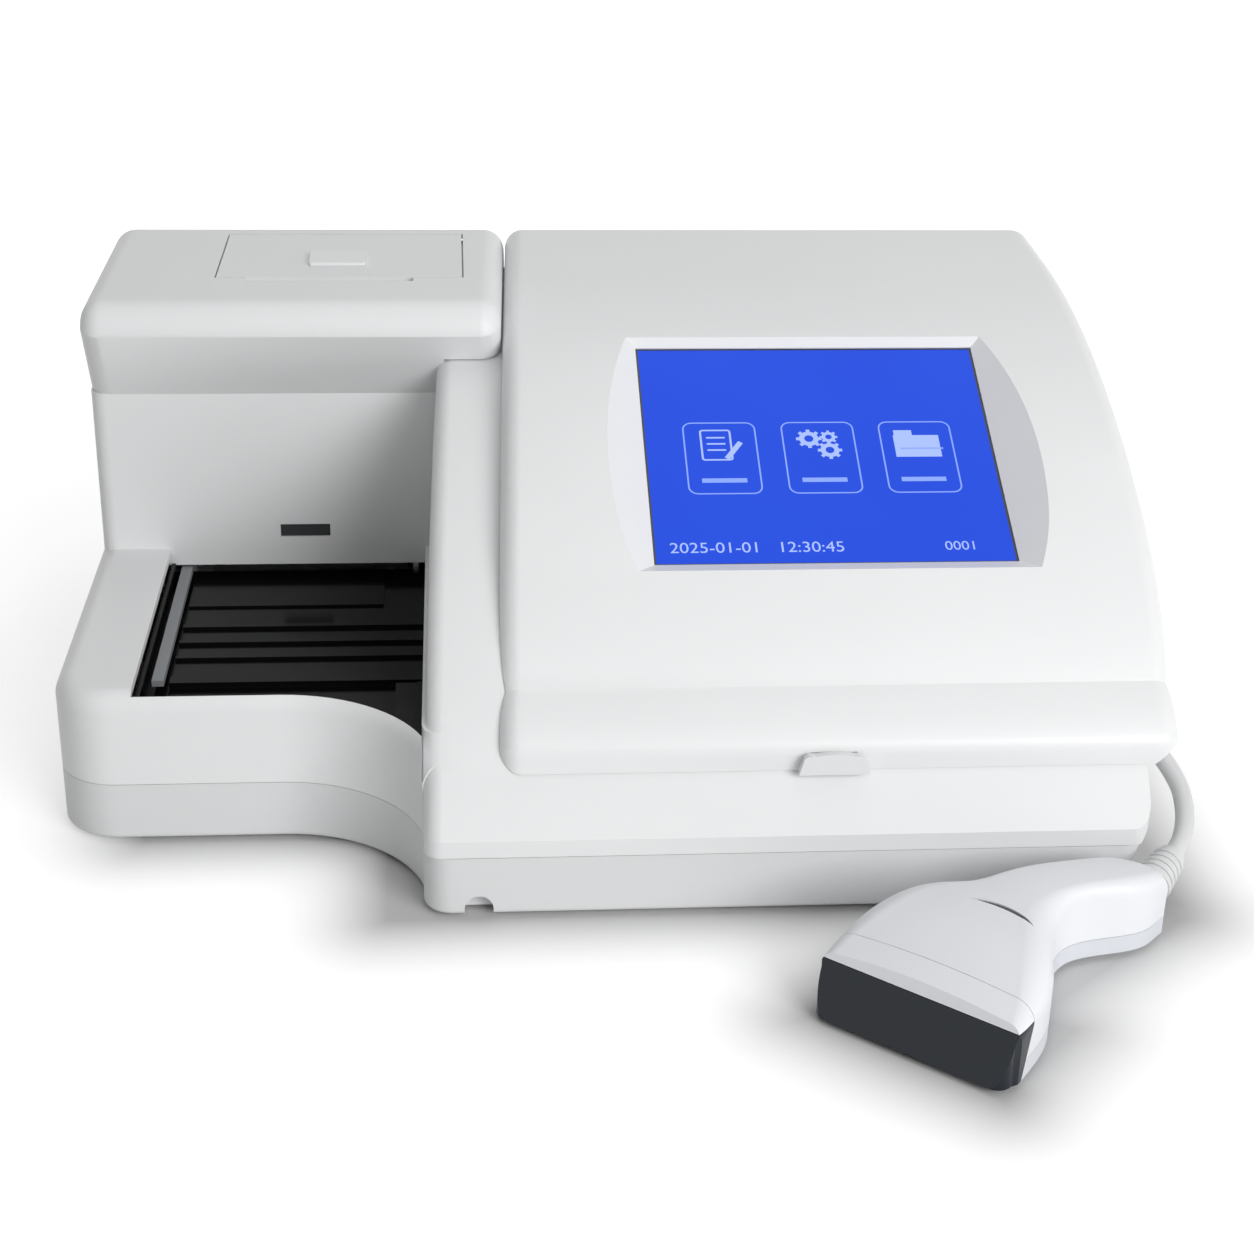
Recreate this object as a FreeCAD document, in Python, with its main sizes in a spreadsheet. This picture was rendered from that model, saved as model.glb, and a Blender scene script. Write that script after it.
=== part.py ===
"""Desk-top urine test-strip analyzer with a hand-held barcode reader.

Lengths are in millimetres and angles in degrees.  Every piece is drawn in the
analyzer's own axes: X runs right from the left wall, Y runs back from the front
wall and Z runs up from the table.  The last step moves the pieces together, so
that the origin is the middle of the set's footprint on the table.
"""
import FreeCAD, Part
import math
import os

import Sketcher
from FreeCAD import Placement, Rotation, Vector

doc = FreeCAD.newDocument("UrineAnalyzer")

# ---------------------------------------------------------------- sizes ----
SIZES = [
    # overall
    ("CaseWidth", 366, "left wall to the right edge of the cover"),
    ("CaseDepth", 283, "front wall to rear wall"),
    ("CaseHeight", 153, "table to the top of the cover and printer"),
    ("Wall", 2.5, "wall of the moulded shells"),
    ("FootHeight", 1.5, "gap between table and lower case"),
    ("PartingHeight", 22, "joint between lower and upper case"),
    ("SeamGap", 0.2, "gap between shells that meet"),
    # left unit
    ("LeftUnitWidth", 122, "left wall to the main unit"),
    ("LeftSetback", 52, "left unit's front wall behind the main front"),
    ("DeckHeight", 55, "top of the left unit"),
    ("CurveRadius", 48.6, "hollow curve between left unit and main unit"),
    ("CurveShort", 1.6, "how far that curve stops short of a quarter turn"),
    ("LeftRound", 7, "rounded top edge of the left unit"),
    ("CornerRadius", 20, "upright front corner of the left unit"),
    ("MainCornerRadius", 9, "upright front corners of the main unit"),
    # tower and printer head
    ("TowerDepth", 108, "tower, front to back"),
    ("TowerInset", 1.5, "tower's left wall inside the left unit's"),
    ("TowerWidth", 129, "width of the tower's stem"),
    ("HeadHeight", 37, "printer head, underside to top"),
    ("HeadOverhang", 15, "printer head in front of the tower"),
    ("HeadNose", 11, "printer head's foremost line below its top"),
    ("HeadRound", 12, "rounded front top edge of the printer head"),
    ("RearRound", 20, "rounded rear top edge"),
    # main unit
    ("BandHeight", 28, "top of the upright band at the foot of the main front"),
    ("ApronDepth", 13, "sloped apron between band and cover"),
    ("ApronHeight", 44, "lower front edge of the cover"),
    ("CoverOverhang", 11, "cover beyond the right wall"),
    ("RimWidth", 24, "rim left of the cover, at the front"),
    ("RimTaper", 9, "how far main unit and cover narrow towards the rear"),
    ("RimStep", 11, "cover's surface above the rim"),
    ("SideBevel", 13, "inward slope at the foot of the right wall"),
    # cover
    ("NoseShare", 0.34, "top of the cover's upright front face, as a share of the height"),
    ("ShoulderY", 30, "end of the cover's front rounding"),
    ("ShoulderShare", 0.4314, "height there, as a share of the whole"),
    ("BrowY", 78, "end of the cover's steep part"),
    ("BrowShare", 0.7059, "height there, as a share of the whole"),
    ("CrestBack", 59, "rear wall behind the start of the cover's nearly level top"),
    ("CrestDrop", 2, "cover top above that point"),
    ("NoseRound", 8, "rounded crease above the cover's upright front face"),
    ("CoverSideRound", 7, "rounding of the cover's side edges"),
    ("HingeSetback", 7, "cover hinge axis in front of the rear wall"),
    ("HingeDrop", 38, "cover hinge axis below the top"),
    ("HingePin", 2, "radius of the cover hinge pins"),
    ("RunningGap", 0.05, "radial clearance of a turning or sliding fit"),
    ("CoverGap", 0.6, "gap around cover, lids and drawer"),
    # screen
    ("ScreenWidth", 122, "visible width of the display"),
    ("ScreenLength", 104.5, "visible length of the display, along its slope"),
    ("ScreenTilt", 24.8, "slope of the display"),
    ("ScreenShift", 3.5, "middle of the display, right of the cover's middle"),
    ("ScreenY", 112, "middle of the display"),
    ("ScreenShare", 0.757, "height of the display's middle, as a share of the whole"),
    ("RecessFlare", 11.5, "slope of the recess wall, outward"),
    ("RecessDepth", 7, "recess depth over which it flares"),
    ("GlassThickness", 1.6, "touch glass"),
    ("PanelThickness", 6, "display panel behind the glass"),
    ("LatchTravel", 1.5, "how far the cover's latch button is pressed"),
    ("BadgeWidth", 44.5, "long axis of the oval badge"),
    ("BadgeHeight", 23.6, "short axis of the oval badge"),
    ("BadgeThickness", 1.2, "badge plate"),
    ("BadgeTilt", 50, "slope of the badge"),
    # strip deck
    ("TrayInset", 27, "left wall to the tray well"),
    ("TrayFloor", 43, "height of the tray's floor"),
    ("TrayThickness", 2, "tray moulding"),
    ("RibHeight", 2, "ribs and lip above the tray's floor"),
    ("GuideRadius", 3, "guide rods of both carriages"),
    ("MotorSize", 28, "square stepping motors"),
    ("WindowWidth", 18.5, "strip sensor's window"),
    ("WindowHeight", 5, "strip sensor's window"),
    ("WindowX", 68, "left edge of the strip sensor's window"),
    ("WindowZ", 59.5, "lower edge of the strip sensor's window"),
    # printer
    ("BayX", 50, "paper bay, left side"),
    ("BayWidth", 76, "paper bay"),
    ("BayRear", 28, "rear wall behind the paper bay"),
    ("BayDepth", 54, "paper bay, front to back"),
    ("RollRadius", 15, "paper roll"),
    ("RollWidth", 57, "paper width"),
    ("CoreRadius", 6, "bore of the paper roll's core"),
    ("LidMargin", 3, "printer lid beyond the bay"),
    ("LidWidth", 90, "printer lid"),
    ("TabWidth", 21, "printer lid's latch tab"),
    ("TabRise", 1.2, "latch tab above the lid"),
    ("PlatenRadius", 4, "rubber platen roller"),
    # waste drawer
    ("DrawerY", 84, "waste drawer, front side"),
    ("DrawerLength", 136, "waste drawer, along the right wall"),
    ("DrawerDepth", 60, "waste drawer, into the case"),
    ("DrawerHeight", 22, "waste drawer"),
    # hand-held reader
    ("ReaderX", 260.9, "middle of the reader's front edge"),
    ("ReaderY", -80.6, "middle of the reader's front edge"),
    ("ReaderTurn", 49.4, "direction in which the reader's head points away from its window"),
    ("ReaderWidth", 64, "reader head"),
    ("ReaderHead", 62, "length of the reader's head"),
    ("ReaderLength", 124, "front to end of handle"),
    ("ReaderHeight", 29, "height of the reader's head"),
    ("HandleWidth", 28, "width of the handle"),
    ("HandleHeight", 26, "height of the handle"),
    ("BezelHeight", 17, "dark window band of the reader"),
    ("BezelLength", 9, "dark window band of the reader"),
    ("FrontLean", 6, "how far the band's top lies behind its foot"),
    ("ReaderLift", 2, "bumpers under the reader"),
    ("BootLength", 18.5, "strain relief of the reader's cord"),
    ("BootTilt", 10, "slope of the strain relief"),
    ("ReaderCorner", 5, "upright front corners of the reader"),
    ("CordRadius", 3.1, "radius of the reader's cord"),
    ("PortReach", 5, "serial port's shell behind the rear wall"),
]

sheet = doc.addObject("Spreadsheet::Sheet", "Sizes")


class Dim:
    """A number together with the sheet expression that gives it."""

    def __init__(self, value, text):
        self.value = float(value)
        self.text = text

    def __add__(self, other):
        other = dim(other)
        return Dim(self.value + other.value, f"({self.text} + {other.text})")

    def __sub__(self, other):
        other = dim(other)
        return Dim(self.value - other.value, f"({self.text} - {other.text})")

    def __mul__(self, other):
        other = dim(other)
        return Dim(self.value * other.value, f"({self.text} * {other.text})")

    def __truediv__(self, other):
        other = dim(other)
        return Dim(self.value / other.value, f"({self.text} / {other.text})")

    def __radd__(self, other):
        return dim(other) + self

    def __rsub__(self, other):
        return dim(other) - self

    def __rmul__(self, other):
        return dim(other) * self

    def __neg__(self):
        return dim(0) - self


def dim(number):
    return number if isinstance(number, Dim) else Dim(number, f"({number:.6g})")


def root(number):
    return Dim(math.sqrt(number.value), f"sqrt({number.text})")


def cosine(angle):
    return Dim(math.cos(math.radians(angle.value)), f"cos({angle.text} * 1 deg)")


def sine(angle):
    return Dim(math.sin(math.radians(angle.value)), f"sin({angle.text} * 1 deg)")


class Sizes:
    pass


S = Sizes()
for row, (alias, number, meaning) in enumerate(SIZES, start=1):
    sheet.set(f"A{row}", meaning)
    sheet.set(f"B{row}", str(number))
    sheet.setAlias(f"B{row}", alias)
    setattr(S, alias, Dim(number, f"Sizes.{alias}"))
doc.recompute()

# ------------------------------------------------------------- helpers ----
ALONG = {
    "x": Rotation(Vector(0, 1, 0), 90),
    "y": Rotation(Vector(1, 0, 0), -90),
    "z": Rotation(),
}
QUARTER = math.tan(math.radians(90 / 4))
parts = []
reach = (S.ReaderWidth / 2 - S.ReaderCorner) * cosine(S.ReaderTurn) - S.ReaderY \
    + S.ReaderCorner - S.ReaderCorner * sine(S.ReaderTurn)


def bind(obj, **values):
    """Ties properties to sizes; a double underscore stands for a dot."""
    for prop, number in values.items():
        obj.setExpression(prop.replace("__", "."), dim(number).text)


def at(obj, x, y, z):
    obj.Placement.Base = Vector(dim(x).value, dim(y).value, dim(z).value)
    bind(obj, Placement__Base__x=x, Placement__Base__y=y, Placement__Base__z=z)
    obj_places[obj.Name] = (dim(x), dim(y), dim(z))
    return obj


obj_places = {}


def box(name, x, y, z, length, width, height):
    solid = doc.addObject("Part::Box", name)
    bind(solid, Length=length, Width=width, Height=height)
    return at(solid, x, y, z)


def rod(name, axis, x, y, z, radius, length):
    """A cylinder whose axis starts at x, y, z and runs along the named axis."""
    solid = doc.addObject("Part::Cylinder", name)
    solid.Placement.Rotation = ALONG[axis]
    bind(solid, Radius=radius, Height=length)
    return at(solid, x, y, z)


def fuse(name, *pieces):
    joined = doc.addObject("Part::MultiFuse", name)
    joined.Shapes = list(pieces)
    joined.Refine = True
    return joined


def cut(name, base, *tools):
    result = doc.addObject("Part::Cut", name)
    result.Base = base
    result.Tool = tools[0] if len(tools) == 1 else fuse(name + "_tools", *tools)
    result.Refine = True
    return result


def common(name, first, *others):
    result = doc.addObject("Part::MultiCommon", name)
    result.Shapes = [first, *others]
    result.Refine = True
    return result


def part(label, obj):
    """Makes an object a piece of the set: names it and moves it to the set's origin."""
    obj.Label = label
    x, y, z = obj_places.get(obj.Name, (dim(0), dim(0), dim(0)))
    bind(obj,
         Placement__Base__x=x - S.CaseWidth / 2,
         Placement__Base__y=y - (S.CaseDepth + S.PortReach - reach) / 2,
         Placement__Base__z=z)
    parts.append(obj)
    return obj


def corner(u, v, radius):
    """Marks a corner of a square-cornered outline that gets a round."""
    return (u, v, "round", radius)


def arcs_at_corners(outline):
    """Replaces each marked corner by the two ends of its arc."""
    result = []
    count = len(outline)
    for i, point in enumerate(outline):
        if len(point) < 4:
            result.append(point)
            continue
        u, v, _, radius = point
        u, v, radius = dim(u), dim(v), dim(radius)
        before, after = outline[i - 1], outline[(i + 1) % count]
        into = heading(before, point)
        out = heading(point, after)
        turn = into[0] * out[1] - into[1] * out[0]
        result.append((u - into[0] * radius, v - into[1] * radius, QUARTER * turn))
        result.append((u + out[0] * radius, v + out[1] * radius))
    return result


def heading(start, end):
    du = dim(end[0]).value - dim(start[0]).value
    dv = dim(end[1]).value - dim(start[1]).value
    if abs(du) > abs(dv):
        return (round(math.copysign(1, du)), 0)
    return (0, round(math.copysign(1, dv)))


def draw_outline(sketch, outline):
    """Draws a closed outline.  A point is (u, v) or (u, v, bulge): the bulge makes
    the next stretch an arc and is the tangent of a quarter of its angle."""
    points = [tuple(dim(n) for n in p[:2]) + tuple(p[2:]) for p in arcs_at_corners(outline)]
    count = len(points)
    ends = []
    for i, point in enumerate(points):
        nxt = points[(i + 1) % count]
        start = Vector(point[0].value, point[1].value, 0)
        end = Vector(nxt[0].value, nxt[1].value, 0)
        bulge = point[2] if len(point) > 2 else 0
        if not bulge:
            geo = sketch.addGeometry(Part.LineSegment(start, end))
            ends.append((geo, 1, 2))
            continue
        chord = end - start
        radius = chord.Length * (1 + bulge ** 2) / (4 * abs(bulge))
        side = Vector(-chord.y, chord.x, 0).normalize()
        middle = (start + end) / 2
        depth = chord.Length * (1 - bulge ** 2) / (4 * bulge)
        centre = middle + side * depth
        a0 = math.atan2(start.y - centre.y, start.x - centre.x)
        a1 = math.atan2(end.y - centre.y, end.x - centre.x)
        if bulge < 0:
            a0, a1 = a1, a0
        arc = Part.ArcOfCircle(Part.Circle(centre, Vector(0, 0, 1), radius), a0, a1)
        geo = sketch.addGeometry(arc)
        ends.append((geo, 1, 2) if bulge > 0 else (geo, 2, 1))
        du, dv = nxt[0] - point[0], nxt[1] - point[1]
        size = root(du * du + dv * dv) * ((1 + bulge ** 2) / (4 * abs(bulge)))
        constrain(sketch, Sketcher.Constraint("Radius", geo, radius), size)
    for i, (geo, start, _) in enumerate(ends):
        before, _, end = ends[i - 1]
        sketch.addConstraint(Sketcher.Constraint("Coincident", before, end, geo, start))
        for kind, number in zip(("DistanceX", "DistanceY"), points[i][:2]):
            constrain(sketch, Sketcher.Constraint(kind, -1, 1, geo, start, number.value), number)


def draw_circle(sketch, u, v, radius):
    u, v, radius = dim(u), dim(v), dim(radius)
    circle = Part.Circle(Vector(u.value, v.value, 0), Vector(0, 0, 1), radius.value)
    geo = sketch.addGeometry(circle)
    constrain(sketch, Sketcher.Constraint("Radius", geo, radius.value), radius)
    for kind, number in (("DistanceX", u), ("DistanceY", v)):
        constrain(sketch, Sketcher.Constraint(kind, -1, 1, geo, 3, number.value), number)


def constrain(sketch, constraint, number):
    index = sketch.addConstraint(constraint)
    sketch.setExpression(f"Constraints[{index}]", number.text)


def prism(name, plane, outline, start, length, holes=(), circles=()):
    """A body padded from a sketch.  On XY it rises along Z, on YZ it runs along X
    and on XZ along Y, each from start over length."""
    body = doc.addObject("PartDesign::Body", name)
    sketch = body.newObject("Sketcher::SketchObject", name + "_sketch")
    origin_plane = [f for f in body.Origin.OriginFeatures if f.Role == plane + "_Plane"][0]
    sketch.AttachmentSupport = [(origin_plane, "")]
    sketch.MapMode = "FlatFace"
    start = dim(start)
    sketch.setExpression("AttachmentOffset.Base.z", (-start if plane == "XZ" else start).text)
    if outline:
        draw_outline(sketch, outline)
    for hole in holes:
        draw_outline(sketch, hole)
    for circle in circles:
        draw_circle(sketch, *circle)
    pad = body.newObject("PartDesign::Pad", name + "_pad")
    pad.Profile = sketch
    bind(pad, Length=length)
    pad.Reversed = plane == "XZ"
    return body


def round_edges(name, obj, radius, test, kind="Part::Fillet"):
    """Rounds (or chamfers) the edges of an object for which test(edge) holds."""
    doc.recompute()
    chosen = [i + 1 for i, edge in enumerate(obj.Shape.Edges) if test(edge)]
    result = doc.addObject(kind, name)
    result.Base = obj
    result.Edges = [(i, dim(radius).value, dim(radius).value) for i in chosen]
    return result


def lies(edge, **limits):
    """True if all of an edge's bounding box lies within the limits, such as z=(0, 5)."""
    bounds = edge.BoundBox
    for axis, (low, high) in limits.items():
        least = getattr(bounds, axis.upper() + "Min")
        most = getattr(bounds, axis.upper() + "Max")
        if least < dim(low).value - 0.01 or most > dim(high).value + 0.01:
            return False
    return True


# ------------------------------------------------------- shared outlines ----
body_right = S.CaseWidth - S.CoverOverhang
cover_left = S.LeftUnitWidth + S.RimWidth
rim_rear_y = S.CaseDepth - 13
tower_front = S.CaseDepth - S.TowerDepth
ledge_z = S.CaseHeight - S.HeadHeight
hinge_z = S.CaseHeight - S.HingeDrop
nose_z = S.CaseHeight * S.NoseShare
shoulder_z = S.CaseHeight * S.ShoulderShare
brow_z = S.CaseHeight * S.BrowShare
crest_y = S.CaseDepth - S.CrestBack
bay_y = S.CaseDepth - S.BayRear - S.BayDepth
screen_x = (cover_left + S.CaseWidth) / 2 + S.ScreenShift
screen_z = S.CaseHeight * S.ScreenShare
rear_ledge = hinge_z - S.HingeSetback


def case_outline(inset):
    """Plan of the whole case, moved inward by inset."""
    left, right = S.LeftUnitWidth + inset, body_right - inset
    setback, rear = S.LeftSetback + inset, S.CaseDepth - inset
    return [
        corner(left, dim(inset), S.MainCornerRadius - inset),
        corner(right, dim(inset), S.MainCornerRadius - inset),
        corner(right, rear, S.MainCornerRadius - inset),
        corner(dim(inset), rear, S.MainCornerRadius - inset),
        corner(dim(inset), setback, S.CornerRadius - inset),
        *hollow_arc(inset, left),
    ]


def hollow_arc(grow, right):
    """The hollow curve, moved in by grow, from its level end to the line x = right."""
    centre_x = S.LeftUnitWidth + S.CurveShort - S.CurveRadius
    centre_y = S.LeftSetback - S.CurveRadius
    radius = S.CurveRadius + grow
    level = right - centre_x
    bulge = math.tan(math.asin(level.value / radius.value) / 4)
    return [(centre_x, centre_y + radius, -bulge),
            (right, centre_y + root(radius * radius - level * level))]


def left_outline(inset):
    """Plan of the left unit with its hollow curve; it runs on into the main unit."""
    curve = hollow_arc(inset, S.LeftUnitWidth)
    right = S.LeftUnitWidth + S.RimTaper + 1
    return [
        *curve,
        (right, curve[1][1]),
        (right, S.CaseDepth - inset),
        (dim(inset), S.CaseDepth - inset),
        corner(dim(inset), S.LeftSetback + inset, S.CornerRadius - inset),
    ]


def cover_profile(inset, floor):
    """Side view of the cover: upright nose, steep front, nearly level top, round rear."""
    top = S.CaseHeight
    return [
        (S.ApronDepth + inset, floor),
        (S.CaseDepth - inset, floor),
        (S.CaseDepth - inset, top - S.RearRound, QUARTER),
        (S.CaseDepth - S.RearRound, top - inset),
        (crest_y + inset * 0.07, top - S.CrestDrop - inset, 0.1095),
        (S.BrowY + inset * 0.48, brow_z - inset * 0.87, 0.1095),
        (S.ShoulderY + inset * 0.81, shoulder_z - inset * 0.59, 0.158),
        (S.ApronDepth + inset, nose_z),
    ]


def rim_profile(raised, floor):
    """Side view of the case under the cover: apron, steep front, level top, hinge step."""
    top = S.CaseHeight - S.RimStep + raised
    rear = rim_rear_y + raised
    return [
        (dim(0) - raised, floor),
        (S.CaseDepth + raised, floor),
        (S.CaseDepth + raised, rear_ledge + raised),
        (rear, rear_ledge + raised),
        (rear, top - S.RearRound, QUARTER),
        (rear - S.RearRound, top - 1),
        (crest_y, top - S.CrestDrop, 0.1095),
        (S.BrowY, top - S.CaseHeight + brow_z, 0.105),
        (S.ApronDepth, S.ApronHeight + raised),
        (dim(0) - raised, S.BandHeight + raised),
    ]


def tapered_plan(left, right, front, rear):
    """Plan whose left side leans right towards the rear, like the main unit's."""
    return [(left, front), (right, front), (right, rear), (left + S.RimTaper, rear)]


# ------------------------------------------------------------------ case ----
def side_bevel(name):
    """Cuts the right wall's foot away at a slope."""
    edge = body_right - S.SideBevel
    return prism(name, "XZ", [(edge, dim(0)), (body_right + 5, dim(0)),
                              (body_right + 5, S.BandHeight), (body_right, S.BandHeight),
                              (edge, S.FootHeight)], -5, S.CaseDepth + 10)


def bevel_at(height):
    """Where the sloping foot of the right wall is at a height."""
    return body_right - S.SideBevel * (S.BandHeight - height) / (S.BandHeight - S.FootHeight)


def lower_case():
    floor_top = S.FootHeight + S.Wall
    shell = prism("lower_outer", "XY", case_outline(dim(0)), S.FootHeight,
                  S.PartingHeight - S.FootHeight)
    shell = round_edges("lower_rounded", shell, 1.8,
                        lambda e: lies(e, z=(S.FootHeight, S.FootHeight)))
    inside = prism("lower_inner", "XY", case_outline(S.Wall), floor_top, S.PartingHeight)
    notch = arch("lower_notch", 4.6, -1, 8)
    tub = cut("lower_tub", shell, inside, notch, side_bevel("lower_bevel"))
    posts = [rod(f"case_post_{i}", "z", x, y, floor_top - 0.5, 4, S.PartingHeight - floor_top - 5)
             for i, (x, y) in enumerate(screw_places())]
    notch_wall = cut("notch_wall",
                     arch("notch_outer", 6.6, 1, 6),
                     box("notch_below", S.LeftUnitWidth, -2, -10, 40, 20, S.FootHeight + 10.3),
                     arch("notch_inner", 4.6, -1, 6.5))
    bevel_wall = common("bevel_wall", shell,
                        prism("bevel_strip", "XZ",
                              [(body_right - S.SideBevel - S.Wall * 2, floor_top - 0.5),
                               (body_right - S.SideBevel, S.FootHeight),
                               (bevel_at(S.PartingHeight), S.PartingHeight),
                               (bevel_at(S.PartingHeight) - S.Wall, S.PartingHeight)],
                              0, S.CaseDepth))
    bored = [rod(f"case_bore_{i}", "z", x, y, 0, 1.7, S.PartingHeight)
             for i, (x, y) in enumerate(screw_places())]
    sunk = [rod(f"case_sink_{i}", "z", x, y, 0, 3.4, S.FootHeight + 1.2)
            for i, (x, y) in enumerate(screw_places())]
    body = fuse("lower_body", tub, notch_wall, bevel_wall, *posts)
    return part("lower_case", cut("lower_case", body, *bored, *sunk))


def arch(name, radius, start, length):
    """Round-topped block under the main front, open towards the table."""
    middle, spring = S.LeftUnitWidth + 17.5, S.FootHeight + 2.1
    return prism(name, "XZ", [(middle - radius, dim(-1)), (middle + radius, dim(-1)),
                              (middle + radius, spring, QUARTER), (middle, spring + radius, QUARTER),
                              (middle - radius, spring)], start, length)


def screw_places():
    inset = S.Wall + 9
    return [(inset, S.CaseDepth - inset), (inset + 3, S.LeftSetback + inset + 6),
            (S.LeftUnitWidth + inset + 24, inset), (body_right - S.SideBevel - inset, inset),
            (body_right - S.SideBevel - inset, S.CaseDepth - inset)]


def case_screws():
    pieces = []
    for i, (x, y) in enumerate(screw_places()):
        head = rod(f"screw_head_{i}", "z", x, y, S.FootHeight + 0.2, 2.9, 1)
        shank = rod(f"screw_shank_{i}", "z", x, y, S.FootHeight + 0.2, 1.5, 22)
        pieces.append(fuse(f"screw_{i}", head, shank))
    group = doc.addObject("Part::Compound", "case_screws")
    group.Links = pieces
    return part("case_screws", group)


def rubber_feet():
    inset = S.MainCornerRadius + 12
    places = [(inset + 6, S.LeftSetback + inset + 10), (S.LeftUnitWidth + inset + 26, inset - 6),
              (body_right - S.SideBevel - inset - 8, inset - 6), (inset, S.CaseDepth - inset - 12),
              (body_right - S.SideBevel - inset - 8, S.CaseDepth - inset - 2)]
    group = doc.addObject("Part::Compound", "rubber_feet")
    group.Links = [rod(f"foot_{i}", "z", x, y, 0, 7, S.FootHeight) for i, (x, y) in enumerate(places)]
    return part("rubber_feet", group)


def upper_case():
    parting = S.PartingHeight + S.SeamGap
    low = S.DeckHeight - parting
    left = prism("left_unit", "XY", left_outline(dim(0)), parting, low)
    left = round_edges("left_unit_round", left, S.LeftRound,
                       lambda e: lies(e, z=(S.DeckHeight, S.DeckHeight),
                                      x=(0, S.LeftUnitWidth), y=(0, S.CaseDepth - 1)))
    stem = box("tower_stem", S.TowerInset, tower_front, parting, S.TowerWidth,
               S.CaseDepth - tower_front, ledge_z - parting)
    stem = round_edges("tower_round", stem, 6, lambda e: lies(e, x=(0, 3)) and e.Length > 50
                       and e.BoundBox.ZLength > 50)
    rim = common("rim_outer",
                 prism("rim_profile", "YZ", rim_profile(dim(0), parting), S.LeftUnitWidth - 5,
                       body_right - S.LeftUnitWidth + 5),
                 prism("rim_plan", "XY", tapered_plan(S.LeftUnitWidth, body_right, dim(0),
                                                      S.CaseDepth), parting, S.CaseHeight))
    rim = round_edges("rim_round", rim, 6, rim_edge)
    outer = fuse("upper_outer", left, stem, rim)

    left_room = common("left_room", prism("left_room_plan", "XY", left_outline(S.Wall), 0,
                                          S.DeckHeight - S.Wall),
                       box("left_room_side", 0, 0, 0, S.LeftUnitWidth, S.CaseDepth, S.DeckHeight))
    stem_room = box("stem_room", S.TowerInset + S.Wall, tower_front + S.Wall, 0,
                    S.TowerWidth - S.Wall * 2, S.CaseDepth - tower_front - S.Wall * 2,
                    ledge_z + 5)
    wall = S.Wall
    main_room = common("main_room",
                       prism("main_room_profile", "YZ", rim_profile(-wall, dim(0)),
                             S.LeftUnitWidth - 5, body_right - S.LeftUnitWidth + 5 - wall),
                       prism("main_room_plan", "XY",
                             tapered_plan(S.LeftUnitWidth + wall, body_right - wall, wall,
                                          S.CaseDepth - wall), 0, S.CaseHeight))
    opening = box("cover_opening", cover_left + 12, S.ApronDepth + 11, S.ApronHeight - 6,
                  body_right - cover_left - 20, rim_rear_y - S.ApronDepth - 33, S.CaseHeight)
    notch = box("latch_notch", latch_x - 10.5, S.ApronDepth - 0.4, S.ApronHeight + 0.3, 21, 14, 10)
    head_room = prism("head_room", "YZ", housing_outline(), S.LeftUnitWidth - 5,
                      head_side - S.LeftUnitWidth + 5)
    rooms = [left_room, stem_room, main_room, opening, notch, head_room, *tray_well(), *rear_cutouts(),
             drawer_cutout(), sensor_cutout(), side_bevel("upper_bevel")]
    shell = cut("upper_shell", outer, *rooms)
    outside = bevel_at(parting)
    ledge = common("bevel_ledge", outer,
                   prism("bevel_ledge_strip", "XZ",
                         [(outside - wall, parting), (outside, parting), (body_right, S.BandHeight),
                          (body_right - wall - 0.5, S.BandHeight)], 0, S.CaseDepth))
    skirt = box("tower_skirt", S.TrayInset - 1, tower_front, S.TrayFloor + 5.4,
                S.LeftUnitWidth - S.TrayInset + 2, wall, S.DeckHeight - S.TrayFloor - 5.4)
    return part("upper_case", fuse("upper_case", shell, ledge, skirt, *hinge_ears(), *pusher_posts()))


def rim_edge(edge):
    """The rim's outer left edges and its upright front corners."""
    bounds = edge.BoundBox
    upright = bounds.YLength < 0.1 and bounds.XLength < 0.1 and bounds.YMin < 1
    return upright or (bounds.XLength < 13 and bounds.YLength > 5
                       and bounds.XMax < S.LeftUnitWidth.value + 14
                       and bounds.ZMin > S.BandHeight.value - 1)


def tray_well():
    """The open well of the left unit and the slot under the tower's front wall."""
    well = prism("tray_well", "XY", tray_outline(dim(0), tower_front), S.TrayFloor - 6, 30)
    slot = box("tray_slot", S.TrayInset, tower_front - 1, S.TrayFloor - 6,
               S.LeftUnitWidth - S.TrayInset, S.Wall + 2, 12.5)
    entry = box("strip_entry", S.LeftUnitWidth - 6, S.LeftSetback + 14, S.TrayFloor - 3,
                S.Wall * 2 + 12, tower_front - S.LeftSetback - 18, 13)
    return [well, slot, entry]


def tray_outline(inset, rear):
    """Plan of the tray well: it follows the hollow curve along its front."""
    front = S.LeftSetback + S.Wall + inset
    right = S.LeftUnitWidth - inset
    return [
        (S.TrayInset + inset, front),
        *hollow_arc(S.Wall + inset, right),
        (right, rear - inset),
        (S.TrayInset + inset, rear - inset),
    ]


def rear_cutouts():
    rear = S.CaseDepth - S.Wall - 1
    depth = S.Wall + 2
    return [
        box("inlet_hole", inlet_x, rear, inlet_z, 28, depth, 20.5),
        box("switch_hole", inlet_x - 30, rear, inlet_z, 21.2, depth, 15.2),
        box("serial_hole", serial_x, rear, inlet_z, 31, depth, 12.6),
        box("usb_hole", usb_x, rear, inlet_z, 14.6, depth, 7.6),
    ]


inlet_x = body_right - 60
inlet_z = S.PartingHeight + 8
serial_x = inlet_x - 80
usb_x = serial_x - 30


def drawer_cutout():
    gap = S.CoverGap
    return box("drawer_cut", body_right - S.Wall - 3, S.DrawerY - gap, drawer_z - gap,
               S.Wall + 8, S.DrawerLength + gap * 2, S.DrawerHeight + gap * 2)


drawer_z = S.BandHeight + 2


def sensor_cutout():
    return box("sensor_cut", S.WindowX, tower_front - 1, S.WindowZ, S.WindowWidth,
               S.Wall + 2, S.WindowHeight)


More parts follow.
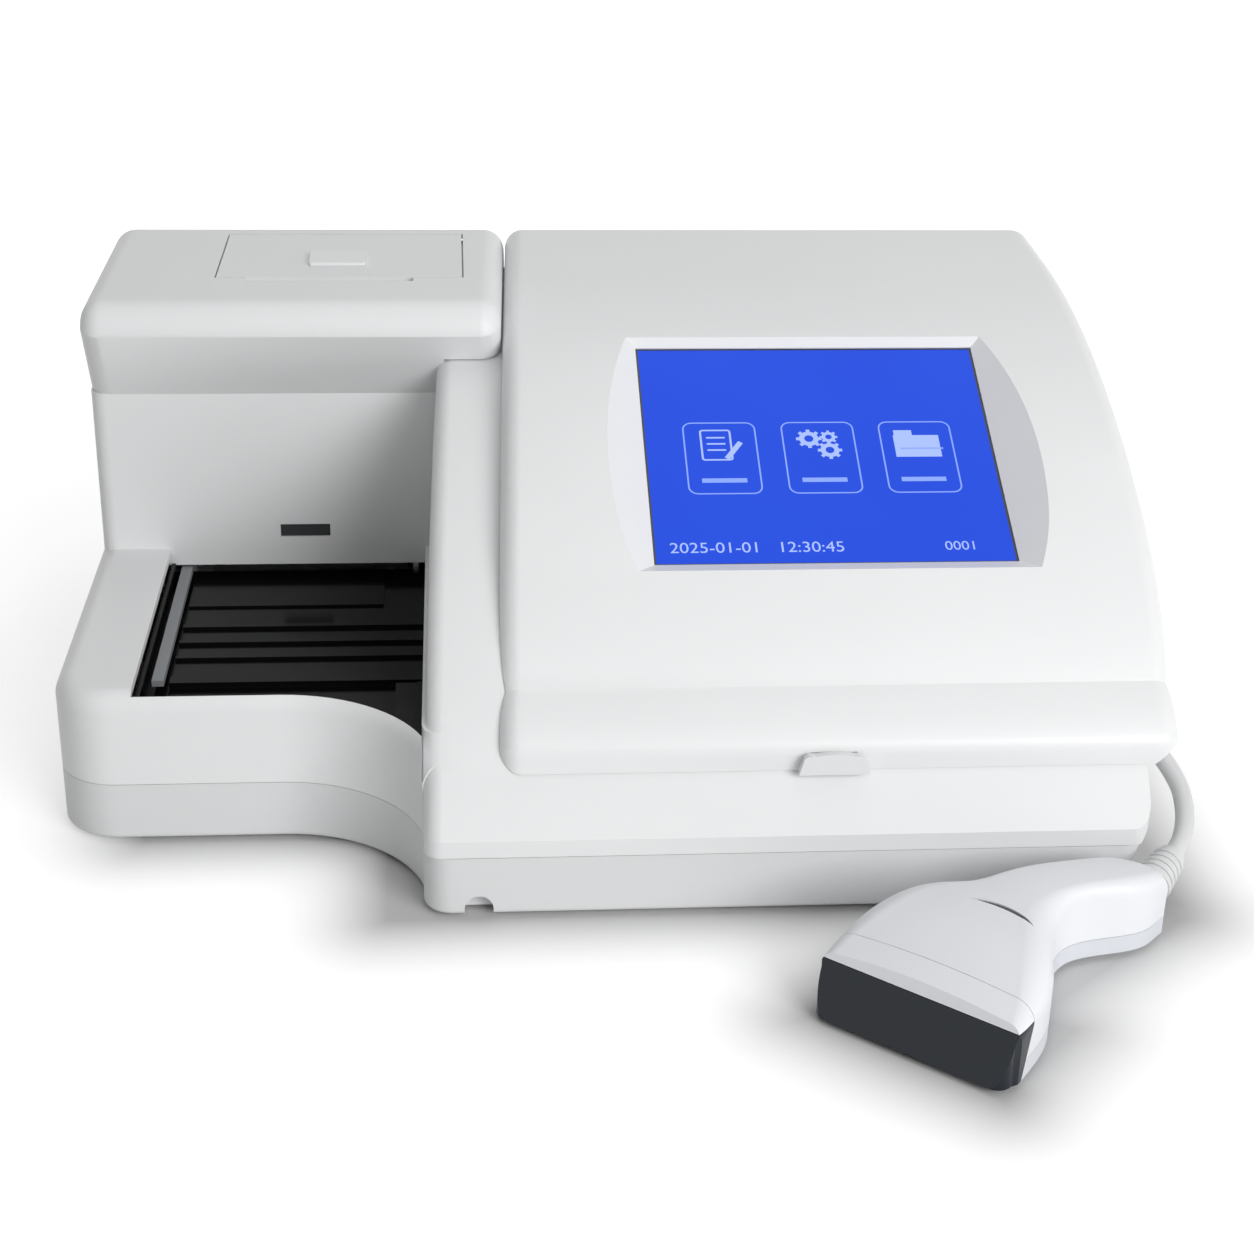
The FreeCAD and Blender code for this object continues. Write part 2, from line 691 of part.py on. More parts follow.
def hinge_ears():
    """Two lugs on the case's rear step that hold the cover's hinge pins."""
    axis_y = S.CaseDepth - S.HingeSetback
    ears = []
    for i, x in enumerate(hinge_places()):
        for j, side in enumerate((-4, hinge_length)):
            block = box(f"ear_{i}{j}", x + side, axis_y - 3.4, rear_ledge - 1, 4, 5.6,
                        S.HingeSetback + 1)
            nose = rod(f"ear_nose_{i}{j}", "x", x + side, axis_y, hinge_z, 3.4, 4)
            ears.append(cut(f"ear_cut_{i}{j}", fuse(f"ear_join_{i}{j}", block, nose),
                            rod(f"ear_bore_{i}{j}", "x", x + side - 1, axis_y, hinge_z,
                                S.HingePin, 6)))
    return ears


hinge_length = dim(16)


def hinge_places():
    return [cover_left + 34, body_right - 50]


def pusher_posts():
    """Ribs inside the tower's foot that the pusher frame is screwed to."""
    top = S.TrayFloor - 7
    return [box("pusher_rib", S.Wall - 0.5, rail_y + 14, parting_up, 8, 6, top - parting_up)]


parting_up = S.PartingHeight + S.SeamGap
rail_y = tower_front + 16
rail_z = S.TrayFloor - 10


# ------------------------------------------------------------ strip deck ----
def strip_tray():
    fit = S.SeamGap + 0.1
    low = S.TrayFloor - S.TrayThickness
    rear = tower_front + S.Wall + 4
    floor = prism("tray_floor", "XY", tray_outline(fit, rear), low, S.TrayThickness)
    rim = cut("tray_rim",
              prism("tray_rim_outer", "XY", tray_outline(fit, tower_front), low,
                    S.DeckHeight - low - 4.5),
              prism("tray_rim_inner", "XY", tray_outline(fit + 1.6, tower_front + 9), 0, 80),
              box("tray_rim_open", S.LeftUnitWidth - 10, 0, 0, 40, S.CaseDepth, 80))
    lip = cut("tray_lip",
              prism("tray_lip_outer", "XY", tray_outline(fit, tower_front), S.TrayFloor - 0.5,
                    S.RibHeight + 2.5),
              prism("tray_lip_inner", "XY", tray_outline(fit + 9, tower_front + 12), 0, 80),
              box("tray_lip_left", 0, 0, 0, S.TrayInset + 9.6, S.CaseDepth, 80),
              box("tray_lip_rear", 0, S.LeftSetback + 24, 0, S.CaseWidth, S.CaseDepth, 80))
    ribs = []
    for i, (rib_y, width) in enumerate(((tower_front - 47, 2.6), (tower_front - 60, 2.2),
                                        (tower_front - 72.5, 1.4), (tower_front - 92, 5))):
        ribs.append(box(f"tray_rib_{i}", S.TrayInset + 8.6, rib_y, S.TrayFloor - 0.5,
                        S.LeftUnitWidth - S.TrayInset - 9, width, S.RibHeight * 0.6 + 0.5))
    plate = box("tray_plate", S.TrayInset + 8.6, tower_front - 28, S.TrayFloor - 0.5,
                S.LeftUnitWidth - S.TrayInset - 24, 30, 1.3)
    drain = box("tray_drain", S.TrayInset + 9, tower_front - 100, low + 1, 84, 6, 5)
    tray = cut("tray_cut", fuse("tray_join", floor, rim, lip, plate, *ribs), drain,
               box("pusher_way", S.TrayInset - 1, tower_front - S.Wall - 1,
                   S.TrayFloor + 0.2, S.LeftUnitWidth, 30, 30))
    return part("strip_tray", fuse("strip_tray", tray, *tray_legs(low)))


def tray_legs(top):
    floor_top = S.FootHeight + S.Wall
    places = [(S.TrayInset + 12, S.LeftSetback + 20), (S.LeftUnitWidth - 14, S.LeftSetback + 20),
              (S.TrayInset + 12, tower_front - 10), (S.LeftUnitWidth - 14, tower_front - 10)]
    return [rod(f"tray_leg_{i}", "z", x, y, floor_top, 3, top - floor_top + 0.5)
            for i, (x, y) in enumerate(places)]


def strip_pusher():
    """Bar across the tray, its arm through the slot and its bushing on the guide rod."""
    bar_x = S.TrayInset + 3.6
    bar_z = S.TrayFloor + S.RibHeight + 0.4
    bar_y = S.LeftSetback + 26
    bar = box("pusher_bar", bar_x, bar_y, bar_z, 4, rail_y - bar_y + 4, 2.2)
    comb = [box(f"pusher_finger_{i}", bar_x + 0.5, tower_front - 38 - 26 * i, bar_z - 0.9, 3, 5, 2)
            for i in range(2)]
    arm = box("pusher_arm", bar_x, rail_y - 4, rail_z, 4, 8, bar_z - rail_z + 2.2)
    hub = box("pusher_hub", bar_x - 5, rail_y - 6, rail_z - 6, 14, 12, 12)
    clamp = box("pusher_clamp", bar_x - 1, rail_y + 5, belt_z + belt_radius - 0.6, 6, 12, 4)
    web = box("pusher_web", bar_x - 1, rail_y + 5, rail_z - 3, 6, 2, belt_z + belt_radius - rail_z + 3)
    bore = rod("pusher_bore", "x", bar_x - 10, rail_y, rail_z, S.GuideRadius + S.RunningGap, 30)
    belt_gap = box("pusher_belt_gap", bar_x - 3, rail_y + 9.7, belt_z - 12, 10, 8.2,
                   12 + belt_radius + 1.3)
    return part("strip_pusher", cut("strip_pusher", fuse("pusher_body", bar, arm, hub, clamp, web,
                                                         *comb), bore, belt_gap))


belt_radius = dim(6)
belt_z = rail_z


def pusher_frame():
    """Sheet frame that carries the pusher's guide rod, pulleys and motor."""
    floor_top = S.FootHeight + S.Wall
    left, right = S.Wall + 8, S.LeftUnitWidth - 5
    height = rail_z + 12 - floor_top
    plates = []
    for i, x in enumerate((left, right)):
        plate = box(f"frame_plate_{i}", x, rail_y - 8, floor_top, 2, 32, height)
        hole = rod(f"frame_hole_{i}", "x", x - 1, rail_y, rail_z, S.GuideRadius, 4)
        plates.append(cut(f"frame_cut_{i}", plate, hole))
    base = box("frame_base", left, rail_y - 8, floor_top, right - left + 2, 32, 1.5)
    back = box("frame_back", left, rail_y + 22.5, floor_top, right - left + 2, 1.5, height)
    axles = [rod(f"frame_axle_{i}", "y", x, rail_y + 9.5, belt_z, 2 - S.RunningGap, 14)
             for i, x in enumerate(pusher_pulleys())]
    return part("pusher_frame", fuse("pusher_frame", base, back, *plates, *axles))


def pusher_rod():
    left = S.Wall + 8
    return part("pusher_rod", rod("pusher_rod", "x", left, rail_y, rail_z, S.GuideRadius,
                                  S.LeftUnitWidth - 3 - left))


def pusher_pulleys():
    return [S.TrayInset - 6, S.LeftUnitWidth - 14]


def pulley(label, axis, x, y, z, radius, width):
    """Flanged belt pulley with a running bore."""
    step = {"x": (1, 0, 0), "y": (0, 1, 0)}[axis]
    hub = rod(label + "_hub", axis, x, y, z, radius, width)
    rims = [rod(f"{label}_rim_{i}", axis, x + step[0] * d, y + step[1] * d, z, radius + 1.2, 0.8)
            for i, d in enumerate((dim(0), width - 0.8))]
    bore = rod(label + "_bore", axis, x - step[0], y - step[1], z, 2, width + 2)
    return part(label, cut(label, fuse(label + "_body", hub, *rims), bore))


def belt(label, plane, start, width, centre_a, centre_b, radius):
    """Flat closed belt round two pulleys of equal radius."""
    (ua, va), (ub, vb) = centre_a, centre_b
    outer, inner = [[(ua, va - edge), (ub, vb - edge, QUARTER), (ub + edge, vb, QUARTER),
                     (ub, vb + edge), (ua, va + edge, QUARTER), (ua - edge, va, QUARTER)]
                    for edge in (radius + 1.2, radius + 0.2)]
    return part(label, prism(label, plane, outer, start, width, holes=[inner]))


def strip_platform():
    """Deck under the cover on which the strips travel to the waste drawer."""
    floor_top = S.FootHeight + S.Wall
    left = S.LeftUnitWidth + S.Wall + S.RimTaper * (tower_front / S.CaseDepth) + 0.4
    front = S.LeftSetback + 12
    length = platform_right - left
    depth = tower_front - front - 2
    tongue = box("platform_tongue", S.LeftUnitWidth + 0.6, S.LeftSetback + 18, S.TrayFloor - 2.8,
                 left - S.LeftUnitWidth, tower_front - S.LeftSetback - 26, 1.6)
    deck = box("platform_deck", left, front, S.TrayFloor - 3, length, depth, 3)
    grooves = [box(f"platform_groove_{i}", left - 1, front + 14 + 26 * i, S.TrayFloor - 1.2,
                   length + 2, 5, 3) for i in range(4)]
    ribs = [box(f"platform_rib_{i}", left + 12 + (length - 26) * (i / 7), front + 4,
                S.TrayFloor - 0.5, 2, 8, 2.5) for i in range(8)]
    legs = [rod(f"platform_leg_{i}", "z", x, y, floor_top, 4, S.TrayFloor - floor_top - 2)
            for i, (x, y) in enumerate([(left + 12, front + 6), (platform_right - 12, front + 6),
                                        (left + 12, front + depth - 6),
                                        (platform_right - 12, front + depth - 6)])]
    return part("strip_platform", fuse("strip_platform", cut("platform_cut", deck, *grooves),
                                       tongue, *ribs, *legs))


platform_right = body_right - S.DrawerDepth - 9


# ---------------------------------------------------------- reading head ----
read_x = platform_right - 112
read_z = S.TrayFloor + 20
read_front = S.LeftSetback + 2
rod_places = (0, 64)
read_rear = tower_front + 45


def read_frame():
    """Two uprights that hold the guide rods over the strip platform."""
    floor_top = S.FootHeight + S.Wall
    uprights = []
    for i, y in enumerate((read_front, read_rear)):
        plate = box(f"read_plate_{i}", read_x - 12, y, floor_top, 94, 2.5, read_z + 10 - floor_top)
        holes = [rod(f"read_hole_{i}{j}", "y", read_x + dx, y - 1, read_z, S.GuideRadius, 5)
                 for j, dx in enumerate(rod_places)]
        foot = box(f"read_foot_{i}", read_x - 12, y - (8 if i == 0 else 0), floor_top, 94, 10.5, 1.5)
        uprights.append(fuse(f"read_upright_{i}", cut(f"read_cut_{i}", plate, *holes), foot))
    axles = [rod(f"read_axle_{i}", "x", read_x + 72, y, read_z, 2 - S.RunningGap, 9.5)
             for i, y in enumerate(read_pulleys())]
    side = box("read_side", read_x + 80, read_front, read_z - 4, 2, read_rear - read_front + 2.5, 8)
    return part("read_frame", fuse("read_frame", *uprights, *axles, side))


def read_pulleys():
    return [read_front + 12, read_rear - 10]


def read_rods():
    group = doc.addObject("Part::Compound", "read_rods")
    group.Links = [rod(f"read_rod_{i}", "y", read_x + dx, read_front, read_z, S.GuideRadius,
                       read_rear - read_front + 2.5) for i, dx in enumerate(rod_places)]
    return part("read_rods", group)


def reading_head():
    """Optical block that slides over the strips; it parks at the rear."""
    rear = read_rear - 4
    body = box("head_body", read_x - 8, rear - 34, read_z - 8, 79.5, 34, 16)
    clamp = box("head_clamp", read_x + 68, rear - 24, read_z + belt_radius + 1.4, 10, 10, 2)
    snout = box("head_snout", read_x + 8, rear - 28, read_z - 14, 54, 22, 8)
    bores = [rod(f"head_bore_{i}", "y", read_x + dx, rear - 40, read_z,
                 S.GuideRadius + S.RunningGap, 50) for i, dx in enumerate(rod_places)]
    window = box("head_window_cut", read_x + 14, rear - 24, read_z - 15, 42, 14, 3)
    return part("reading_head", cut("reading_head", fuse("head_join", body, snout, clamp),
                                    *bores, window))


def reading_window():
    rear = read_rear - 4
    return part("reading_window", box("reading_window", read_x + 14.2, rear - 23.8, read_z - 13.8,
                                      41.6, 13.6, 1.6))


# ---------------------------------------------------------- waste drawer ----
def waste_drawer():
    left = body_right - S.DrawerDepth
    wall = 1.8
    outer = box("drawer_outer", left, S.DrawerY, drawer_z, S.DrawerDepth, S.DrawerLength,
                S.DrawerHeight)
    room = box("drawer_room", left + wall, S.DrawerY + wall, drawer_z + wall,
               S.DrawerDepth - wall - 2.6, S.DrawerLength - wall * 2, S.DrawerHeight)
    low_side = box("drawer_low_side", left - 1, S.DrawerY + wall, S.TrayFloor - 5, wall + 3,
                   S.DrawerLength - wall * 2, S.DrawerHeight)
    grip = rod("drawer_grip", "y", body_right + 3.4, S.DrawerY + S.DrawerLength / 2 - 18,
               drawer_z + S.DrawerHeight - 3, 5, 36)
    return part("waste_drawer", cut("waste_drawer", outer, room, low_side, grip))


def drawer_cradle():
    """Shelf with two side rails that the waste drawer slides on."""
    floor_top = S.FootHeight + S.Wall
    left = body_right - S.DrawerDepth - 4
    top = drawer_z - 0.3
    length = S.DrawerLength + 5
    shelf = box("cradle_shelf", left, S.DrawerY - 2.5, top - 2, S.DrawerDepth - 2, length, 2)
    rails = [box(f"cradle_rail_{i}", left, y, top - 1, S.DrawerDepth - 2, 2, 9)
             for i, y in enumerate((S.DrawerY - 2.5, S.DrawerY + S.DrawerLength + 0.5))]
    legs = [box(f"cradle_leg_{i}", left + 2, y, floor_top, 30, 4, top - floor_top - 1)
            for i, y in enumerate((S.DrawerY, S.DrawerY + S.DrawerLength - 6))]
    return part("drawer_cradle", fuse("drawer_cradle", shelf, *rails, *legs))


# ----------------------------------------------------------------- cover ----
def tilted(name, across, along, up, length, width, height):
    """A box in the display's sloping frame, given by its lowest corner there."""
    solid = doc.addObject("Part::Box", name)
    bind(solid, Length=length, Width=width, Height=height)
    return lean(solid, across, along, up)


def lean(solid, across, along, up, turn=0):
    """Places an object in the display's sloping frame."""
    along, up = dim(along), dim(up)
    solid.Placement.Rotation = Rotation(Vector(1, 0, 0), S.ScreenTilt.value + turn)
    bind(solid, Placement__Rotation__Angle=S.ScreenTilt + turn)
    slope, rise = cosine(S.ScreenTilt), sine(S.ScreenTilt)
    return at(solid, screen_x + across, S.ScreenY + along * slope - up * rise,
              screen_z + along * rise + up * slope)


def around_screen(name, margin_x, margin_y, up, height):
    """A plate centred on the display, larger than it by the margins."""
    width, length = S.ScreenWidth + margin_x * 2, S.ScreenLength + margin_y * 2
    return tilted(name, -width / 2, -length / 2, up, width, length, height)


def screen_recess():
    """Four-sided funnel that widens from the display up through the cover's skin."""
    funnel = doc.addObject("Part::Wedge", "screen_recess")
    half_w, half_l = S.ScreenWidth / 2, S.ScreenLength / 2
    wide = S.RecessFlare * 2
    funnel.Xmax = 200
    funnel.Zmax = 200
    bind(funnel, Ymax=S.RecessDepth * 2, Xmax=half_w, Zmax=half_l, X2max=half_w + wide,
         Z2max=half_l + wide)
    bind(funnel, Ymin=0, Xmin=-half_w, Zmin=-half_l, X2min=-half_w - wide, Z2min=-half_l - wide)
    return lean(funnel, dim(0), dim(0), dim(0), 90)


def cover():
    low = S.BandHeight
    left, right = cover_left, S.CaseWidth
    block = common("cover_block",
                   prism("cover_profile", "YZ", cover_profile(dim(0), low), left - 5,
                         right - left + 5),
                   prism("cover_plan", "XY", tapered_plan(left, right, S.ApronDepth, S.CaseDepth),
                         low, S.CaseHeight))
    block = round_edges("nose_round", block, S.NoseRound,
                        lambda e: lies(e, y=(S.ApronDepth, S.ApronDepth), z=(nose_z, nose_z)))
    block = round_edges("cover_round", block, S.CoverSideRound, cover_side_edge)
    under = prism("cover_under", "YZ", rim_profile(S.CoverGap, dim(-20)), left - 10,
                  right - left + 20)
    behind = box("cover_behind", left - 10, rim_rear_y - 5, 0, right - left + 20, 40,
                 hinge_z + 0.5)
    wall = S.Wall
    room = common("cover_room",
                  prism("cover_room_profile", "YZ", cover_profile(wall, dim(0)), left - 5,
                        body_right - left + 3),
                  prism("cover_room_plan", "XY",
                        tapered_plan(left + wall, body_right - 2, S.ApronDepth + wall,
                                     S.CaseDepth - wall), 0, S.CaseHeight))
    seat = around_screen("cover_seat", 16, 16, -0.5, 16)
    bosses = [tilted(f"cover_boss_{i}", sx * (S.ScreenWidth / 2 + 12) - 4,
                     sy * (S.ScreenLength / 2 + 4) - 5, panel_low, 8, 10, 12)
              for i, (sx, sy) in enumerate(((-1, -1), (1, -1), (-1, 1), (1, 1)))]
    room = cut("cover_room_cut", room, seat, *bosses)
    window = around_screen("cover_window", 0, 0, -4, 8)
    pocket = badge_shape("badge_pocket", 0.15, 5)
    nose_bevel = prism("nose_bevel", "XZ", [(right - 9, S.ApronHeight), (right + 1, S.ApronHeight),
                                            (right + 1, S.ApronHeight + 9)], 0, S.ShoulderY)
    latch_hole = box("latch_hole", latch_x - 7.3, S.ApronDepth - 1, S.ApronHeight + 2.2, 14.6,
                     S.Wall + 2, 4.6)
    skin = cut("cover_skin", block, under, behind, room, screen_recess(), window, pocket, latch_hole,
               nose_bevel)
    knuckles = []
    axis_y = S.CaseDepth - S.HingeSetback
    for i, x in enumerate(hinge_places()):
        barrel = rod(f"knuckle_{i}", "x", x + 0.5, axis_y, hinge_z, 3.4, hinge_length - 1)
        web = box(f"knuckle_web_{i}", x + 0.5, axis_y, hinge_z + 0.5, hinge_length - 1,
                  S.HingeSetback - 1, 8)
        knuckles.append(cut(f"knuckle_cut_{i}", fuse(f"knuckle_join_{i}", barrel, web),
                            rod(f"knuckle_bore_{i}", "x", x - 1, axis_y, hinge_z,
                                S.HingePin, hinge_length + 2)))
    return part("cover", fuse("cover", skin, *knuckles, latch_guide()))


def cover_side_edge(edge):
    """The cover's two curved side edges and its upright corners."""
    bounds = edge.BoundBox
    return bounds.XLength < 20 and bounds.ZMax > S.BandHeight.value + 1


def latch_guide():
    """Pocket behind the cover's front wall that takes the latch button's spring."""
    back = S.ApronDepth + S.Wall
    return cut("latch_guide",
               box("latch_guide_box", latch_x - 9.5, back - 0.5, S.ApronHeight + 0.9, 19, 11.5, 7),
               box("latch_guide_room", latch_x - 7.3, back - 1, S.ApronHeight + 2.2, 14.6, 10.5, 4.6))


latch_x = screen_x - 7
panel_low = -(S.GlassThickness + S.PanelThickness + 0.8)


def latch_button():
    """Push button: a slanted face with a raised arc, and a stem through the cover."""
    y = S.ApronDepth - S.LatchTravel - 2.8
    face = prism("latch_face", "XZ",
                 [(latch_x - 11.5, S.ApronHeight + 0.9), (latch_x + 11.5, S.ApronHeight + 0.9),
                  (latch_x + 10, S.ApronHeight + 6.4, 0.3), (latch_x + 7, S.ApronHeight + 7.4),
                  (latch_x + 6, S.ApronHeight + 7.4, 0.12), (latch_x - 6, S.ApronHeight + 7.4),
                  (latch_x - 7, S.ApronHeight + 7.4, 0.3), (latch_x - 10, S.ApronHeight + 6.4)],
                 y, 2.5)
    stem = box("latch_stem", latch_x - 7, y + 2, S.ApronHeight + 2.5, 14, 8, 4)
    return part("latch_button", fuse("latch_button", face, stem))


def latch_spring():
    """Coil spring between the button's stem and the end of its guide."""
    front = S.ApronDepth + 7.4 - 0.2
    coil = prism("latch_spring", "XZ", [], front, S.ApronDepth + S.Wall + 9.5 - front,
                 circles=[(latch_x, S.ApronHeight + 4.5, 1.8), (latch_x, S.ApronHeight + 4.5, 1.1)])
    return part("latch_spring", coil)


def badge_shape(name, margin, thickness):
    """Oval plate let into the cover's steep front below the display."""
    rim = doc.addObject("Part::Ellipse", name + "_rim")
    bind(rim, MajorRadius=S.BadgeWidth / 2 + margin, MinorRadius=S.BadgeHeight / 2 + margin)
    rim.Placement.Rotation = Rotation(Vector(1, 0, 0), S.BadgeTilt.value)
    bind(rim, Placement__Rotation__Angle=S.BadgeTilt)
    sunk = 0.7
    at(rim, screen_x - 2.5, S.ShoulderY + 7.6 + sunk * sine(S.BadgeTilt),
       shoulder_z + 9.2 - sunk * cosine(S.BadgeTilt))
    plate = doc.addObject("Part::Extrusion", name)
    plate.Base = rim
    plate.DirMode = "Normal"
    plate.Solid = True
    bind(plate, LengthFwd=dim(thickness))
    return plate


def badge():
    return part("badge", badge_shape("badge", 0, S.BadgeThickness))


def touch_glass():
    return part("touch_glass", around_screen("touch_glass", 5, 4, -0.6 - S.GlassThickness,
                                             S.GlassThickness))


def display_panel():
    body = around_screen("panel_body", 7, 6, -0.7 - S.GlassThickness - S.PanelThickness,
                         S.PanelThickness)
    return part("display_panel", body)


def screen_bracket():
    """Sheet-metal frame behind the display, on four bosses of the cover."""
    plate = around_screen("bracket_plate", 17, 8, panel_low - 1.5, 1.4)
    hole = around_screen("bracket_hole", -14, -14, panel_low - 3, 5)
    return part("screen_bracket", cut("screen_bracket", plate, hole))


def hinge_pins():
    group = doc.addObject("Part::Compound", "cover_hinge_pins")
    axis_y = S.CaseDepth - S.HingeSetback
    group.Links = [rod(f"hinge_pin_{i}", "x", x - 4.5, axis_y, hinge_z,
                       S.HingePin - S.RunningGap, hinge_length + 9)
                   for i, x in enumerate(hinge_places())]
    return part("cover_hinge_pins", group)


# --------------------------------------------------------------- printer ----
lid_left = S.BayX - S.LidMargin
lid_width = S.LidWidth
lid_front = bay_y - S.LidMargin
lid_rear = bay_y + S.BayDepth + S.LidMargin
lid_axis_y = lid_rear - 2
lid_axis_z = S.CaseHeight - 2
roll_x = S.BayX + 10.5
roll_y = bay_y + 31
roll_z = S.CaseHeight - 3.8 - S.RollRadius
platen_y = bay_y + 6.5
platen_z = S.CaseHeight - 7.5


def housing_outline():
    """Side view of the tower's overhanging head."""
    nose_y = tower_front - S.HeadOverhang
    return [
        (tower_front, ledge_z), (S.CaseDepth, ledge_z),
        (S.CaseDepth, S.CaseHeight - S.RearRound, QUARTER),
        (S.CaseDepth - S.RearRound, S.CaseHeight),
        (nose_y + S.HeadRound, S.CaseHeight, 0.40),
        (nose_y, S.CaseHeight - S.HeadNose),
    ]


head_side = S.TowerInset + S.TowerWidth - 0.5


def printer_housing():
    """Overhanging head of the tower with the paper bay in its top."""
    left, low = S.TowerInset, ledge_z
    head_right = cover_left - S.CoverGap
    block = common("housing_block",
                   prism("housing_profile", "YZ", housing_outline(), left,
                         head_right + S.RimTaper - left),
                   prism("housing_plan", "XY",
                         [(left, S.ApronDepth), (head_right, S.ApronDepth),
                          (head_right + S.RimTaper, S.CaseDepth), (left, S.CaseDepth)],
                         low - 1, S.HeadHeight + 2))
    block = round_edges("housing_round", block, 8,
                        lambda e: e.BoundBox.XLength < 10 and e.BoundBox.ZMax > low.value + 1)
    rim_room = prism("housing_rim_room", "YZ", rim_profile(S.CoverGap, dim(0)), head_side, 40)
    bay = box("paper_bay", S.BayX, bay_y, roll_z - S.RollRadius - 1, S.BayWidth, S.BayDepth, 60)
    seat = box("lid_seat", lid_left - 0.6, lid_front - 0.6, S.CaseHeight - S.Wall - 0.1,
               lid_width + 1.2, lid_rear - lid_front + 1.8, 10)
    wall = S.Wall
    hollow_low = low - 1
    hollow_high = S.CaseHeight - 10 - hollow_low
    hollows = [box("hollow_left", left + 8, tower_front + wall, hollow_low,
                   S.BayX - left - 8 - wall - 2, S.CaseDepth - tower_front - 16, hollow_high),
               box("hollow_rear", S.BayX, lid_rear + 4, hollow_low, S.BayWidth - 10,
                   S.CaseDepth - lid_rear - 14, hollow_high)]
    pins = rod("lid_pin_bore", "x", lid_left - 5, lid_axis_y, lid_axis_z, 1, lid_width + 10)
    knuckle_room = rod("lid_knuckle_room", "x", lid_left - 0.6, lid_axis_y, lid_axis_z, 2.9,
                       lid_width + 1.2)
    cradle = rod("spindle_slot", "x", S.BayX - 2, roll_y, roll_z, 3, S.BayWidth + 4)
    cradle_top = box("spindle_slot_top", S.BayX - 2, roll_y - 3, roll_z, S.BayWidth + 4, 6, 60)
    slit = box("paper_slit", S.BayX + 8, bay_y - 8, S.CaseHeight - 2.7, S.RollWidth + 4, 9, 5)
    return part("printer_housing", cut("printer_housing", block, rim_room, bay, seat,
                                       pins, knuckle_room, cradle, cradle_top, slit, *hollows))


def printer_lid():
    plate = box("lid_plate", lid_left, lid_front, S.CaseHeight - S.Wall, lid_width,
                lid_rear - lid_front, S.Wall)
    knuckle = rod("lid_knuckle", "x", lid_left, lid_axis_y, lid_axis_z, 2, lid_width)
    arms = [box(f"platen_arm_{i}", x, platen_y - 3.5, platen_z - 3, 3, 7, S.CaseHeight - platen_z + 2)
            for i, x in enumerate(platen_arms())]
    hole = box("tab_hole", tab_x + 2.7, tab_y + 1.7, S.CaseHeight - 8, S.TabWidth - 5.4, 12.6, 20)
    bores = [rod("lid_bore", "x", lid_left - 1, lid_axis_y, lid_axis_z, 1.05, lid_width + 2),
             rod("platen_bore", "x", lid_left - 1, platen_y, platen_z, 1.5, lid_width + 2)]
    return part("printer_lid", cut("printer_lid", fuse("lid_join", plate, knuckle, *arms), hole,
                                   *bores))


def platen_arms():
    return [roll_x - 5, roll_x + S.RollWidth + 0.8]


tab_x = lid_left + 33
tab_y = lid_front + 15


def lid_tab():
    """Sliding latch tab: it is pushed back to free the lid."""
    top = S.CaseHeight + 0.1
    cap = box("tab_cap", tab_x, tab_y, top, S.TabWidth, 16, S.TabRise)
    cap = round_edges("tab_round", cap, 1, lambda e: e.BoundBox.ZLength > 1)
    stem = box("tab_stem", tab_x + 3, tab_y + 2, top - 4, S.TabWidth - 6, 9, 4.2)
    foot = box("tab_foot", tab_x + 1.5, tab_y + 1, top - 4.4, S.TabWidth - 3, 11, 1.5)
    return part("lid_tab", fuse("lid_tab", cap, stem, foot))


def lid_hinge_pin():
    return part("lid_hinge_pin", rod("lid_hinge_pin", "x", lid_left - 4, lid_axis_y, lid_axis_z,
                                     1, lid_width + 8))


def platen_roller():
    left, right = platen_arms()
    roller = rod("platen_rubber", "x", left + 3.5, platen_y, platen_z, S.PlatenRadius,
                 right - left - 4)
    shaft = rod("platen_shaft", "x", left - 1, platen_y, platen_z, 1.5 - S.RunningGap,
                right - left + 4)
    return part("platen_roller", fuse("platen_roller", roller, shaft))


def print_head():
    """Thermal print line below the platen, on a block that stands in the bay."""
    left, right = platen_arms()
    bay_floor = roll_z - S.RollRadius - 1
    top = platen_z - S.PlatenRadius - 0.3
    block = box("print_block", left + 4, bay_y + 2, bay_floor, right - left - 5, 9, top - 1 - bay_floor)
    bar = box("print_bar", left + 5, platen_y - 2, top - 2, right - left - 7, 4, 2)
    return part("print_head", fuse("print_head", block, bar))


def paper_roll():
    ring = prism("paper_roll", "YZ", [], roll_x, S.RollWidth,
                 circles=[(roll_y, roll_z, S.RollRadius), (roll_y, roll_z, S.CoreRadius)])
    return part("paper_roll", ring)


def paper_spindle():
    left = roll_x - 1
    body = rod("spindle_body", "x", left, roll_y, roll_z, S.CoreRadius - S.RunningGap,
               S.RollWidth + 2)
    ends = rod("spindle_ends", "x", S.BayX - 1.8, roll_y, roll_z, 2.9, S.BayWidth + 3.6)
    return part("paper_spindle", fuse("paper_spindle", body, ends))


# ----------------------------------------------------------- electronics ----
def sensor_window():
    return part("sensor_window", box("sensor_window", S.WindowX + 0.1, tower_front + 0.6,
                                     S.WindowZ + 0.1, S.WindowWidth - 0.2, S.Wall - 0.4,
                                     S.WindowHeight - 0.2))


def main_board():
    floor_top = S.FootHeight + S.Wall
    x, y = S.LeftUnitWidth + 40, read_rear + 8
    length = body_right - 83 - x
    board = box("board_sheet", x, y, floor_top + 6, length, 48, 1.6)
    chips = [box(f"board_chip_{i}", x + 12 + 26 * i, y + 12, floor_top + 7.5, 16, 16, 2)
             for i in range(3)]
    header = box("board_header", x + length - 18, y + 8, floor_top + 7.5, 6, 34, 8)
    posts = [rod(f"board_post_{i}", "z", x + dx, y + dy, floor_top, 3, 6.1)
             for i, (dx, dy) in enumerate(((dim(6), 6), (length - 6, 6), (dim(6), 42), (length - 6, 42)))]
    return part("main_board", fuse("main_board", board, header, *chips, *posts))


